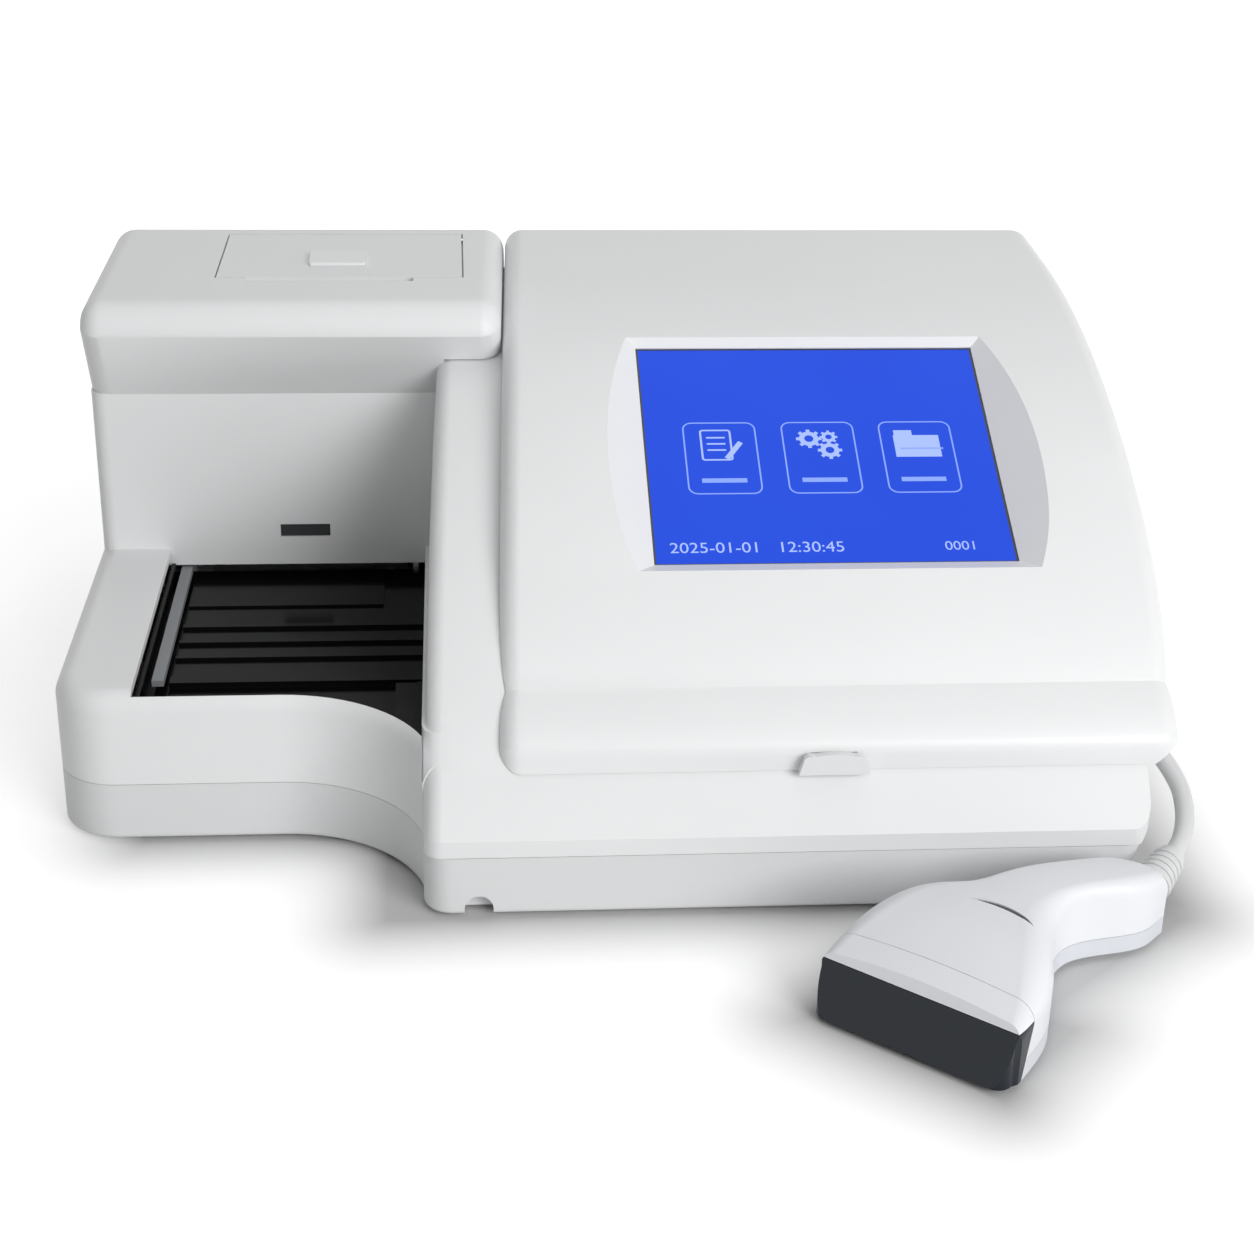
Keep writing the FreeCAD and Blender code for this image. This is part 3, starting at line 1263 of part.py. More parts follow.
def power_supply():
    floor_top = S.FootHeight + S.Wall
    return part("power_supply", box("power_supply", S.Wall + 16, S.CaseDepth - 51, floor_top,
                                    88, 41, 26))


def power_inlet():
    """Mains inlet: flanged shroud with three blades."""
    rear = S.CaseDepth - S.Wall
    x, z = inlet_x, inlet_z
    flange = box("inlet_flange", x - 2, rear + S.Wall, z - 2, 32, 1.2, 24.5)
    body = box("inlet_body", x + 0.2, rear - 20, z + 0.2, 27.6, 20 + S.Wall + 0.2, 20.1)
    socket = box("inlet_socket", x + 2, rear - 14, z + 2, 24, 30, 16.5)
    blades = [box(f"inlet_blade_{i}", x + dx, rear - 15, z + dz, 2, 12, 4)
              for i, (dx, dz) in enumerate(((6, 6), (20, 6), (13, 12)))]
    return part("power_inlet", fuse("power_inlet", cut("inlet_cut", fuse("inlet_join", flange, body),
                                                       socket), *blades))


def switch_body():
    rear = S.CaseDepth - S.Wall
    x, z = inlet_x - 30, inlet_z
    flange = box("switch_flange", x - 1.5, rear + S.Wall, z - 1.5, 24.2, 1.2, 18.2)
    body = box("switch_box", x + 0.2, rear - 12, z + 0.2, 20.8, 12 + S.Wall + 0.2, 14.8)
    room = box("switch_room", x + 1.8, rear - 8, z + 1.8, 17.6, 30, 11.6)
    pin = rod("switch_pin", "z", x + 10.6, rear - 1, z + 1, 1, 13)
    return part("switch_body", fuse("switch_body", cut("switch_cut",
                                                       fuse("switch_join", flange, body), room), pin))


rocker_x = inlet_x - 30 + 10.6
rocker_y = S.CaseDepth - S.Wall - 1


def switch_rocker():
    """Two-winged rocker that tips about an upright pin."""
    y, z = rocker_y, inlet_z + 2.2
    wing = prism("rocker_body", "XY",
                 [(rocker_x - 8, y + 1), (rocker_x, y - 3.4), (rocker_x + 8, y + 1),
                  (rocker_x + 8, y + 3.4), (rocker_x, y + 2.6), (rocker_x - 8, y + 3.4)], z, 10.8)
    return part("switch_rocker", cut("switch_rocker", wing,
                                     rod("rocker_bore", "z", rocker_x, y, z - 1, 1 + S.RunningGap, 14)))


def serial_port():
    rear = S.CaseDepth - S.Wall
    flange = box("serial_flange", serial_x - 2, rear + S.Wall, inlet_z - 1, 35, 0.8, 14.6)
    body = box("serial_body", serial_x + 0.2, rear - 10, inlet_z + 0.2, 30.6, 10 + S.Wall + 0.2, 12.2)
    shell = prism("serial_shell", "XZ", [(serial_x + 7.2, inlet_z + 2), (serial_x + 23.8, inlet_z + 2),
                                         (serial_x + 24.8, inlet_z + 10.4), (serial_x + 6.2, inlet_z + 10.4)],
                  rear, S.Wall + S.PortReach)
    inner = prism("serial_inner", "XZ", [(serial_x + 8, inlet_z + 2.8), (serial_x + 23, inlet_z + 2.8),
                                         (serial_x + 23.9, inlet_z + 9.6), (serial_x + 7.1, inlet_z + 9.6)],
                  rear - 4, S.Wall + 20)
    return part("serial_port", cut("serial_port", fuse("serial_join", flange, body, shell), inner))


def usb_port():
    rear = S.CaseDepth - S.Wall
    body = box("usb_body", usb_x + 0.2, rear - 12, inlet_z + 0.2, 14.2, 12 + S.Wall, 7.2)
    room = box("usb_room", usb_x + 1, rear - 9, inlet_z + 1, 12.6, 30, 5.6)
    tongue = box("usb_tongue", usb_x + 1.6, rear - 10, inlet_z + 4.4, 11.4, 9, 1.6)
    return part("usb_port", fuse("usb_port", cut("usb_cut", body, room), tongue))


# -------------------------------------------------------- barcode reader ----
reader_split = dim(6)


def section(name, along, right, left, height, bend):
    """Cross-section of the reader: flat below, upright sides, arched top.  Right
    and left are measured from the middle line, upwards from the underside."""
    sketch = doc.addObject("Sketcher::SketchObject", name)
    sketch.Placement.Rotation = Rotation(Vector(1, 1, 1), 120)
    bind(sketch, Placement__Base__x=along)
    draw_outline(sketch, [(right, reader_floor), (left, reader_floor),
                          (left, height - bend, QUARTER), (left - bend, height, 0.05),
                          (right + bend, height, QUARTER), (right, height - bend)])
    return sketch


def reader_form(name, inset):
    """Solid form of the reader's head, neck and angled handle, moved in by inset."""
    head, grip = S.ReaderWidth / 2, S.HandleWidth / 2
    low, high = S.BezelHeight, S.ReaderHeight
    neck = S.ReaderHead
    stations = [
        (dim(-1) + inset, head, dim(0), low, 2.5),
        (dim(9) + inset * 0.5, head + 1, dim(0), low + 3, 5),
        (neck * 0.35, head + 0.5, dim(0.5), high - 4, 9),
        (neck * 0.61, head - 3.5, dim(1.5), high, 12),
        (neck * 0.79, head - 9.5, dim(1.5), high - 0.4, 11),
        (neck * 0.92, grip + 3.5, dim(0), high - 2, 9),
        (neck + 4, grip - 0.5, dim(-2), S.HandleHeight, 6),
        (neck + 21, grip - 1.5, dim(-10), S.HandleHeight - 0.6, 5),
        (S.ReaderLength - 25, grip - 2.5, dim(-20), S.HandleHeight - 2, 5),
        (S.ReaderLength - 17 - inset, grip - 5, dim(-23), S.HandleHeight - 4.5, 6),
    ]
    loft = doc.addObject("Part::Loft", name)
    loft.Sections = [section(f"{name}_{i}", along, middle - half + inset, middle + half - inset,
                             height - inset, dim(bend) - inset * 0.5)
                     for i, (along, half, middle, height, bend) in enumerate(stations)]
    loft.Solid = True
    loft.MaxDegree = 3
    return loft


reader_floor = dim(0)


def reader_front(name):
    """Plan outline of the head's front with its rounded corners."""
    half = S.ReaderWidth / 2
    return prism(name, "XY", [corner(dim(0), -half, S.ReaderCorner), (dim(12), -half - 4),
                              (S.ReaderLength, -half - 4), (S.ReaderLength, half + 4),
                              (dim(12), half + 4), corner(dim(0), half, S.ReaderCorner)],
                 -1, S.ReaderHeight + 5)


def reader_part(label, obj):
    """Turns a piece drawn along the reader's own axis into its place on the table."""
    obj.Placement.Rotation = Rotation(Vector(0, 0, 1), S.ReaderTurn.value)
    bind(obj, Placement__Rotation__Angle=S.ReaderTurn)
    obj_places[obj.Name] = (S.ReaderX, S.ReaderY, S.ReaderLift)
    return part(label, obj)


def reader_slab(name, start, end, low, high):
    """Box over the whole width of the reader between two stations and two heights."""
    return box(name, start, -60, low, dim(end) - start, 120, dim(high) - low)


def front_zone(name, gap):
    """Side view of the band and the cap above it: all that lies before a leaning line."""
    foot, top = S.BezelLength + gap, S.BezelHeight
    slope = S.FrontLean / top
    return prism(name, "XZ",
                 [(dim(-20), dim(-5)), (foot - slope * 5, dim(-5)), (foot + S.FrontLean, top),
                  (foot + S.FrontLean, dim(60)), (dim(-20), dim(60))], -60, 120)


def leaning_front(name):
    """Side view of the whole reader behind its leaning front."""
    high = dim(60)
    slope = S.FrontLean / S.BezelHeight
    return prism(name, "XZ", [(slope * -2, dim(-2)), (S.ReaderLength + 10, dim(-2)),
                              (S.ReaderLength + 10, high), (slope * high, high)], -60, 120)


def reader_shells():
    outer = common("reader_outer", common("reader_sides", reader_form("reader_form", dim(0)),
                                          reader_front("reader_plan")),
                   leaning_front("reader_lean"))
    inner = cut("reader_inner", reader_form("reader_room", dim(2)),
                reader_slab("reader_room_floor", -20, 200, -10, 2),
                reader_slab("reader_room_front", -20, S.BezelLength + S.FrontLean + 2, -10, 60))
    long = S.ReaderLength + 10
    split = reader_split
    behind = front_zone("shell_front", dim(0.1))
    before = front_zone("band_front", dim(-0.1))
    upper = cut("reader_upper", outer, inner, reader_slab("upper_below", -20, long, -5, split + 0.1),
                behind, boot_bore("upper_boot"), crescent("indicator_slit", 0, 60))
    lower = cut("reader_lower", outer, inner, reader_slab("lower_above", -20, long, split - 0.1, 60),
                behind, boot_bore("lower_boot"),
                box("trigger_hole", trigger_u - 0.3, -8.3, -5, 20.6, 16.6, 12))
    front = common("reader_front_piece", outer, before)
    reader_part("reader_upper_shell", upper)
    reader_part("reader_lower_shell", lower)
    reader_part("reader_cap", cut("reader_cap", front, reader_slab("cap_below", -20, long, -5,
                                                                   S.BezelHeight + 0.1)))
    reader_part("reader_bezel", cut("reader_bezel", front, reader_slab("bezel_above", -20, long,
                                                                       S.BezelHeight - 0.1, 60)))


trigger_u = dim(34)
boot_x = S.ReaderLength - 19.7
boot_y = dim(-25)
boot_z = dim(12.6)


def boot_bore(name):
    """Bore in the handle's end for the strain relief's neck, widened round its foot."""
    bore = along_boot(doc.addObject("Part::Cylinder", name + "_neck"), -8, Radius=4.6, Height=18)
    seat = along_boot(doc.addObject("Part::Cylinder", name + "_seat"), 3, Radius=6.7, Height=12)
    return fuse(name, bore, seat)


def along_boot(obj, distance, **sizes):
    """Places a round piece on the boot's rising axis, at a distance from its root."""
    obj.Placement.Rotation = Rotation(Vector(0, 1, 0), 90 - S.BootTilt.value)
    bind(obj, Placement__Rotation__Angle=90 - S.BootTilt, **sizes)
    return at(obj, boot_x + distance * cosine(S.BootTilt), boot_y,
              boot_z + distance * sine(S.BootTilt))


def crescent(name, inset, height):
    """Upright prism of the crescent at the rear of the reader's crown."""
    u = S.ReaderHead * 0.69 + inset * 0.43
    return prism(name, "XY", [(u, -17 + inset, 0.32 - inset * 0.04), (u, 5 - inset, -0.12 - inset * 0.06)],
                 0, height)


def reader_lens():
    """Crescent indicator window set in the rear of the reader's crown."""
    lens = common("reader_lens", crescent("lens_disc", 0.6, 60),
                  cut("lens_skin", reader_form("lens_form", dim(0.4)),
                      reader_slab("lens_below", -20, 200, -10, S.ReaderHeight - 8)))
    reader_part("reader_lens", lens)


def reader_engine():
    """Scan engine and its board on the floor of the head."""
    front = S.BezelLength + S.FrontLean + 3
    board = box("engine_board", front, -17, 4.5, 30, 34, 1.6)
    block = box("engine_block", front + 1, -14, 5.8, 18, 28, 9)
    posts = [rod(f"engine_post_{i}", "z", front + du, v, 2, 2, 2.8)
             for i, (du, v) in enumerate([(3, -14), (3, 14), (27, -14), (27, 14)])]
    reader_part("reader_engine", fuse("reader_engine", board, block, *posts))


def reader_trigger():
    """Trigger plate in the underside of the head; it moves up when pressed."""
    pad = box("trigger_pad", trigger_u, -8, -S.ReaderLift + 0.4, 20, 16, S.ReaderLift + 2)
    flange = box("trigger_flange", trigger_u - 1.5, -9.5, 2.2, 23, 19, 0.8)
    trigger = round_edges("trigger_round", pad, 1.5, lambda e: e.BoundBox.ZLength > 3)
    reader_part("reader_trigger", fuse("reader_trigger", trigger, flange))


def reader_pads():
    """Four rubber bumpers that the reader rests on."""
    group = doc.addObject("Part::Compound", "reader_pads")
    places = [(18, -22), (18, 22), (S.ReaderLength - 38, -11), (S.ReaderLength - 25, -18)]
    group.Links = [rod(f"reader_pad_{i}", "z", u, v, -S.ReaderLift, 3, S.ReaderLift)
                   for i, (u, v) in enumerate(places)]
    reader_part("reader_pads", group)


def cord_boot():
    """Tapered, ribbed strain relief at the end of the reader's handle."""
    cone = along_boot(doc.addObject("Part::Cone", "boot_cone"), 3.2, Radius1=6.4, Radius2=4.5,
                      Height=S.BootLength)
    neck = along_boot(doc.addObject("Part::Cylinder", "boot_neck"), -3, Radius=4.4, Height=7)
    rings = [along_boot(doc.addObject("Part::Cylinder", f"boot_ring_{i}"), 6 + i * 2.9,
                        Radius=6.6 - i * 0.32, Height=1.5) for i in range(5)]
    return reader_part("reader_boot", fuse("reader_boot", cone, neck, *rings))


# ------------------------------------------------------------------ cord ----
COIL = Vector(298.2, 335.2, 0)
COIL_TURN = 34.1
LEAD = [
    Vector(361.7, -1.4, 18.4), Vector(366.6, 4.4, 19.7), Vector(371.4, 16.8, 24.3),
    Vector(371.9, 30.6, 29.7), Vector(363.4, 47.6, 38.4), Vector(361.8, 65, 37.2),
    Vector(362.6, 82, 25.5), Vector(364, 103, 13.5), Vector(366, 127, 5.2),
    Vector(368, 151, 3.2), Vector(369, 176, 3.2), Vector(371.5, 200, 3.2),
    Vector(371.5, 222, 3.2), Vector(371, 245, 3.2), Vector(367, 267, 3.2),
    Vector(355.5, 286, 3.2), Vector(337, 296.5, 3.2), Vector(317.5, 298.3, 3.2),
    Vector(298.2, 298.0, 3.2),
]
TAIL = [
    Vector(261, 335.2, 9.4), Vector(260, 357, 8.6), Vector(247, 376, 7.6),
    Vector(226, 384, 9.5), Vector(205, 376, 16), Vector(193.8, 357, 25),
    Vector(192.6, 338, 31.5), Vector(192.3, 322, 33.8),
]


def cord_wire(points):
    """Straight runs joined by arcs, and the arcs' radii."""
    edges, radii = [], []
    last = points[0]
    for before, here, after in zip(points, points[1:], points[2:]):
        into, out = here - before, after - here
        trim = 0.45 * min(into.Length, out.Length)
        turn = into.getAngle(out)
        radii.append(trim / math.tan(turn / 2))
        start = here - into.normalize() * trim
        end = here + out.normalize() * trim
        inward = (end - here + start - here).normalize()
        middle = here + inward * radii[-1] * (1 / math.cos(turn / 2) - 1)
        edges += [Part.LineSegment(last, start).toShape(), Part.Arc(start, middle, end).toShape()]
        last = end
    edges.append(Part.LineSegment(last, points[-1]).toShape())
    return Part.Wire(edges), radii


def cord_tube(label, points, ring):
    """The cord along one route; where it joins the coil it ends on the coil's face."""
    radius = S.CordRadius.value
    wire, radii = cord_wire(points)
    profile = Part.Wire(Part.makeCircle(radius, points[0], points[1] - points[0]))
    tube = wire.makePipeShell([profile], True, False)
    print(f"{label}: {wire.Length:.0f} long, bend radii", " ".join(f"{r:.0f}" for r in radii),
          f"volume {tube.Volume:.0f} against {math.pi * radius ** 2 * wire.Length:.0f}")
    feature = doc.addObject("Part::Feature", label)
    feature.Shape = max(tube.cut(ring).Solids, key=lambda solid: solid.Volume)
    return part(label, feature)


def cord_coil():
    """The wound-up part of the cord, as one ring: two turns wide and two high."""
    low = COIL_TURN - S.CordRadius.value * 2
    high = COIL_TURN + S.CordRadius.value * 2
    tall = S.CordRadius.value * 4 + 0.1
    ring = Part.makeCylinder(high, tall, COIL).cut(Part.makeCylinder(low, tall, COIL))
    ring = ring.makeFillet(S.CordRadius.value * 0.8, [e for e in ring.Edges if len(e.Vertexes) == 1])
    feature = doc.addObject("Part::Feature", "reader_cord_coil")
    feature.Shape = ring
    return part("reader_cord_coil", feature).Shape.copy(), ring


def reader_plug():
    """Flat plug in the analyzer's rear socket, with its strain relief."""
    x, y, z = usb_x + 7.3, S.CaseDepth + 0.4, inlet_z + 3.8
    mould = box("plug_mould", x - 8, y, z - 4, 16, 26, 8)
    mould = round_edges("plug_round", mould, 2.5, lambda e: e.BoundBox.YLength > 20)
    shell = box("plug_shell", x - 5.9, y - 11, z - 2.1, 11.8, 12, 2.4)
    relief = doc.addObject("Part::Cone", "plug_relief")
    relief.Placement.Rotation = ALONG["y"]
    bind(relief, Radius1=3.9, Radius2=3.3, Height=12.8)
    at(relief, x, y + 25.8, z)
    return part("reader_plug", fuse("reader_plug", mould, shell, relief))


# ----------------------------------------------------------------- build ----
def drive_belts():
    """Pulleys, belt and motor of the strip pusher and of the reading head."""
    left, right = pusher_pulleys()
    width = dim(5)
    for side, x in (("left", left), ("right", right)):
        pulley(f"pusher_pulley_{side}", "y", x, rail_y + 10.5, belt_z, belt_radius, width + 1.6)
    belt("pusher_belt", "XZ", rail_y + 11.3, width, (left, belt_z), (right, belt_z), belt_radius)
    for end, y in zip(("front", "rear"), read_pulleys()):
        pulley(f"read_pulley_{end}", "x", read_x + 73, y, read_z, belt_radius, width + 1.6)
    front, rear = read_pulleys()
    belt("read_belt", "YZ", read_x + 73.8, width, (front, read_z), (rear, read_z), belt_radius)


def motor(name, axis, x, y, z, length):
    """Square stepping motor with a round boss; the place is the middle of its front."""
    size, half = S.MotorSize, S.MotorSize / 2
    if axis == "y":
        case = box(name + "_case", x - half, y, z - half, size, length, size)
        boss = rod(name + "_boss", axis, x, y - 1.2, z, size * 0.2, 2)
    else:
        case = box(name + "_case", x, y - half, z - half, length, size, size)
        boss = rod(name + "_boss", axis, x - 1.2, y, z, size * 0.2, 2)
    return fuse(name, case, boss)


def drive_motors():
    """Motors of the strip pusher and of the reading head."""
    group = doc.addObject("Part::Compound", "drive_motors")
    group.Links = [motor("pusher_motor", "y", pusher_pulleys()[0], rail_y + 25.2, belt_z, 15),
                   motor("read_motor", "x", read_x + 83.2, read_pulleys()[1], read_z, 18)]
    return part("drive_motors", group)


for make in (lower_case, case_screws, rubber_feet, upper_case, strip_tray, strip_pusher,
             pusher_frame, pusher_rod, strip_platform, read_frame, read_rods, reading_head,
             reading_window, waste_drawer, drawer_cradle, drive_belts,
             drive_motors,
             cover, hinge_pins, latch_button, latch_spring, badge, touch_glass, display_panel,
             screen_bracket, printer_housing, printer_lid, lid_tab, lid_hinge_pin, platen_roller,
             print_head, paper_roll, paper_spindle, sensor_window, main_board, power_supply,
             power_inlet, switch_body, switch_rocker, serial_port, usb_port,
             reader_shells, reader_lens, reader_engine, reader_trigger,
             reader_pads, cord_boot, reader_plug):
    make()
coil_ring = cord_coil()[1]
cord_tube("reader_cord_run", LEAD, coil_ring)
cord_tube("reader_cord_tail", TAIL, coil_ring)
doc.recompute()

for obj in doc.Objects:
    if {"Invalid", "Error"} & set(obj.State):
        raise RuntimeError(f"{obj.Name} is {obj.State}")
os.makedirs("parts", exist_ok=True)
for piece in parts:
    shape = piece.Shape
    if shape.isNull() or not shape.isValid() or not shape.Solids:
        raise RuntimeError(f"{piece.Label} has no valid solid")
for piece in parts:
    piece.Shape.exportStep(f"parts/{piece.Label}.step")
print(f"{len(parts)} pieces")
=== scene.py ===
"""Finishes, reader cord, lit screen, printed marks, table and studio for the strip analyzer."""
import math

import bmesh
import bpy
from mathutils import Matrix, Vector


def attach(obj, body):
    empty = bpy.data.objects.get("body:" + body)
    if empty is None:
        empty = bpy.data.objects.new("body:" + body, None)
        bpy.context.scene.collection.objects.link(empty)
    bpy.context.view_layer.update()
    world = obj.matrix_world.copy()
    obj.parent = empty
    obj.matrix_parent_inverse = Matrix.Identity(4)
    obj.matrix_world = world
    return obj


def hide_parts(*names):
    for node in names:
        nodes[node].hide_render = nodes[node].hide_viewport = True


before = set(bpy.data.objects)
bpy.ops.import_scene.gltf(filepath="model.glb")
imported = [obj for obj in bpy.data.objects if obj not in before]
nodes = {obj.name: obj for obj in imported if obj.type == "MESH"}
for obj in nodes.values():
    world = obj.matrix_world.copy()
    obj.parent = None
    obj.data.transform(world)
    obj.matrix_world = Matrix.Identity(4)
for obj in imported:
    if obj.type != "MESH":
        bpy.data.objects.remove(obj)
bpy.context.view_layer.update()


def place(x, y, z):
    """A point given in millimetres from the case's left front corner on the table."""
    return Vector((x / 1000 - 0.183, y / 1000 - 0.0943125, z / 1000))


def into_scene(name, data):
    """A new object in the scene that shows the data."""
    made = bpy.data.objects.new(name, data)
    bpy.context.scene.collection.objects.link(made)
    return made


def deselect():
    bpy.ops.object.select_all(action="DESELECT")


def select_only(piece):
    deselect()
    piece.select_set(True)
    bpy.context.view_layer.objects.active = piece


# ------------------------------------------------------------- camera ----
CAMERA_SPOT = (134.48, -604.999, 382.916)
CAMERA_TURN = (4.7342, 24.8612, 1.2634)
LENS = 63.94
SENSOR_WIDTH = 36


def set_camera():
    """A level view turned by yaw, tipped down by pitch and then rolled, all in degrees."""
    yaw, pitch, roll = (math.radians(angle) for angle in CAMERA_TURN)
    ahead = Vector((math.sin(yaw) * math.cos(pitch), math.cos(yaw) * math.cos(pitch),
                    -math.sin(pitch)))
    level = ahead.cross(Vector((0, 0, 1))).normalized()
    upward = level.cross(ahead)
    right = math.cos(roll) * level + math.sin(roll) * upward
    upper = -math.sin(roll) * level + math.cos(roll) * upward
    data = bpy.data.cameras.new("studio_camera")
    data.lens = LENS
    data.sensor_width = SENSOR_WIDTH
    data.clip_start = 0.05
    data.clip_end = 30
    camera = into_scene("studio_camera", data)
    camera.matrix_world = (Matrix.Translation(place(*CAMERA_SPOT))
                           @ Matrix((right, upper, -ahead)).transposed().to_4x4())
    bpy.context.scene.camera = camera


set_camera()


# -------------------------------------------------------------- cords ----
CORD = 0.0062
LEAD_ROUTE = [
    (361.7, -1.4, 18.4), (366.6, 4.4, 19.7), (371.4, 16.8, 24.3), (371.9, 30.6, 29.7),
    (363.4, 47.6, 38.4), (361.8, 65, 37.2), (362.6, 82, 25.5), (364, 103, 13.5),
    (366, 127, 5.2), (368, 151, 3.2), (369, 176, 3.2), (371.5, 200, 3.2),
    (371.5, 222, 3.2), (371, 245, 3.2), (367, 267, 3.2), (355.5, 286, 3.2),
    (337, 296.5, 3.2), (317.5, 298.3, 3.2), (298.2, 298.0, 3.2),
]
TAIL_ROUTE = [
    (261, 335.2, 9.4), (260, 357, 8.6), (247, 376, 7.6), (226, 384, 9.5),
    (205, 376, 16), (193.8, 357, 25), (192.6, 338, 31.5), (192.3, 322, 33.8),
]
COIL_CENTRE = (298.2, 335.2)
COIL_TURNS = 4.25
COIL_STEPS = 16
OUTER_RADIUS = 37.2
INNER_STEP = 6.3
INNERMOST_TURN = 2.1
TURNS_INWARD = 1.2
ON_THE_TABLE = 3.2
UPPER_LAYER = 6.25
CLIMB_START = 1.75
CLIMB_TURNS = 0.5


def coil_turns():
    """Two turns on the table, outer then inner, and two on top, inner then outer."""
    points = []
    for step in range(1, int(COIL_TURNS * COIL_STEPS)):
        turn = step / COIL_STEPS
        angle = math.radians(-90) - 2 * math.pi * turn
        inward = 1 - min(abs(turn - INNERMOST_TURN), TURNS_INWARD) / TURNS_INWARD
        radius = OUTER_RADIUS - INNER_STEP * min(1, inward * 2.2)
        climbed = min(1, max(0, (turn - CLIMB_START) / CLIMB_TURNS))
        height = ON_THE_TABLE + UPPER_LAYER * climbed
        points.append((COIL_CENTRE[0] + radius * math.cos(angle),
                       COIL_CENTRE[1] + radius * math.sin(angle), height))
    return points


def lay_cord(name, route):
    """A round cord along the route, which rides with the case."""
    curve = bpy.data.curves.new(name, "CURVE")
    curve.dimensions = "3D"
    curve.bevel_depth = CORD / 2
    curve.bevel_resolution = 5
    curve.resolution_u = 8
    curve.use_fill_caps = True
    spline = curve.splines.new("NURBS")
    spline.points.add(len(route) - 1)
    for knot, point in zip(spline.points, route):
        knot.co = (*place(*point), 1)
    spline.order_u = 3
    spline.use_endpoint_u = True
    cord = into_scene(name, curve)
    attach(cord, "case")
    return cord


reader_lead = lay_cord("reader_lead", LEAD_ROUTE + coil_turns() + TAIL_ROUTE)
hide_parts("reader_cord_run", "reader_cord_coil", "reader_cord_tail")


# ---------------------------------------------------------- materials ----
class Finish:
    """A surface finish, built up from one shader and the details added to it."""

    def __init__(self, name, colour, roughness, **sockets):
        self.material = bpy.data.materials.new(name)
        self.material.use_nodes = True
        self.material.diffuse_color = (*colour, 1)
        self.nodes = self.material.node_tree.nodes
        self.link = self.material.node_tree.links.new
        self.shader = self.nodes["Principled BSDF"]
        self.colour = colour
        self.shader.inputs["Base Color"].default_value = (*colour, 1)
        self.shader.inputs["Roughness"].default_value = roughness
        for socket, value in sockets.items():
            self.shader.inputs[socket.replace("_", " ")].default_value = value
        self.spot = self.add("ShaderNodeTexCoord").outputs["Object"]
        self.bump = None

    def add(self, kind, **settings):
        """A new node: each setting is a socket's value or else a property."""
        node = self.nodes.new(kind)
        for key, value in settings.items():
            if key in node.inputs:
                node.inputs[key].default_value = value
            else:
                setattr(node, key, value)
        return node

    def noise(self, scale, detail=2.0, stretch=None):
        """Noise fixed to the piece, drawn out along an axis where stretch says so."""
        texture = self.add("ShaderNodeTexNoise", Scale=scale, Detail=detail)
        source = self.spot
        if stretch:
            mapping = self.add("ShaderNodeMapping", Scale=stretch)
            self.link(source, mapping.inputs["Vector"])
            source = mapping.outputs["Vector"]
        self.link(source, texture.inputs["Vector"])
        return texture.outputs["Fac"]

    def vector(self, operation, first, second=None):
        """Vector arithmetic on a socket and a fixed vector."""
        node = self.add("ShaderNodeVectorMath", operation=operation)
        self.link(first, node.inputs[0])
        if second:
            node.inputs[1].default_value = second
        return node.outputs["Value" if operation == "LENGTH" else "Vector"]

    def number(self, operation, first, second):
        """Arithmetic on two sockets."""
        node = self.add("ShaderNodeMath", operation=operation)
        self.link(first, node.inputs[0])
        self.link(second, node.inputs[1])
        return node.outputs["Value"]

    def between(self, factor, low, high, start=0, end=1, curve="LINEAR"):
        """A value that goes from low to high while the factor goes from start to end."""
        spread = self.add("ShaderNodeMapRange", interpolation_type=curve)
        for socket, value in (("From Min", start), ("From Max", end),
                              ("To Min", low), ("To Max", high)):
            spread.inputs[socket].default_value = value
        self.link(factor, spread.inputs["Value"])
        return spread.outputs["Result"]

    def blend(self, factor, low, high):
        """A colour that goes from low to high with the factor."""
        mix = self.add("ShaderNodeMix", data_type="RGBA")
        mix.inputs["A"].default_value = (*low, 1)
        mix.inputs["B"].default_value = (*high, 1)
        self.link(factor, mix.inputs["Factor"])
        return mix.outputs["Result"]

    def tone(self, factor, other):
        """The colour drifts towards another one where the factor is high."""
        self.link(self.blend(factor, self.colour, other), self.shader.inputs["Base Color"])

    def sheen_spots(self, factor, low, high):
        """The roughness varies between low and high."""
        self.link(self.between(factor, low, high), self.shader.inputs["Roughness"])

    def glow(self, factor, low, high):
        """The surface shines by itself, with a colour between low and high."""
        self.shader.inputs["Emission Strength"].default_value = 1.0
        self.link(self.blend(factor, low, high), self.shader.inputs["Emission Color"])

    def relief(self, height, strength, depth):
        """Adds fine relief on top of what is there."""
        bump = self.add("ShaderNodeBump", Strength=strength, Distance=depth)
        self.link(height, bump.inputs["Height"])
        if self.bump:
            self.link(self.bump.outputs["Normal"], bump.inputs["Normal"])
        self.link(bump.outputs["Normal"], self.shader.inputs["Normal"])
        self.bump = bump


GRAIN_DEPTH = 0.00006
LINE_DEPTH = 0.00005


def moulded(name, colour, roughness, grain=2600, strength=0.12, drift=0.96):
    """Injection-moulded plastic: a fine spark-eroded grain, a faint drift of tone and gloss."""
    made = Finish(name, colour, roughness, Specular_IOR_Level=0.45)
    made.tone(made.noise(11, 3), tuple(c * drift for c in colour))
    made.sheen_spots(made.noise(38, 3), roughness * 0.88, min(1, roughness * 1.12))
    made.relief(made.noise(grain, 2), strength, GRAIN_DEPTH)
    return made


def dress(finish, *names):
    """Gives the named pieces one finish."""
    for name in names:
        held = nodes[name].data.materials
        held.clear()
        held.append(finish.material)


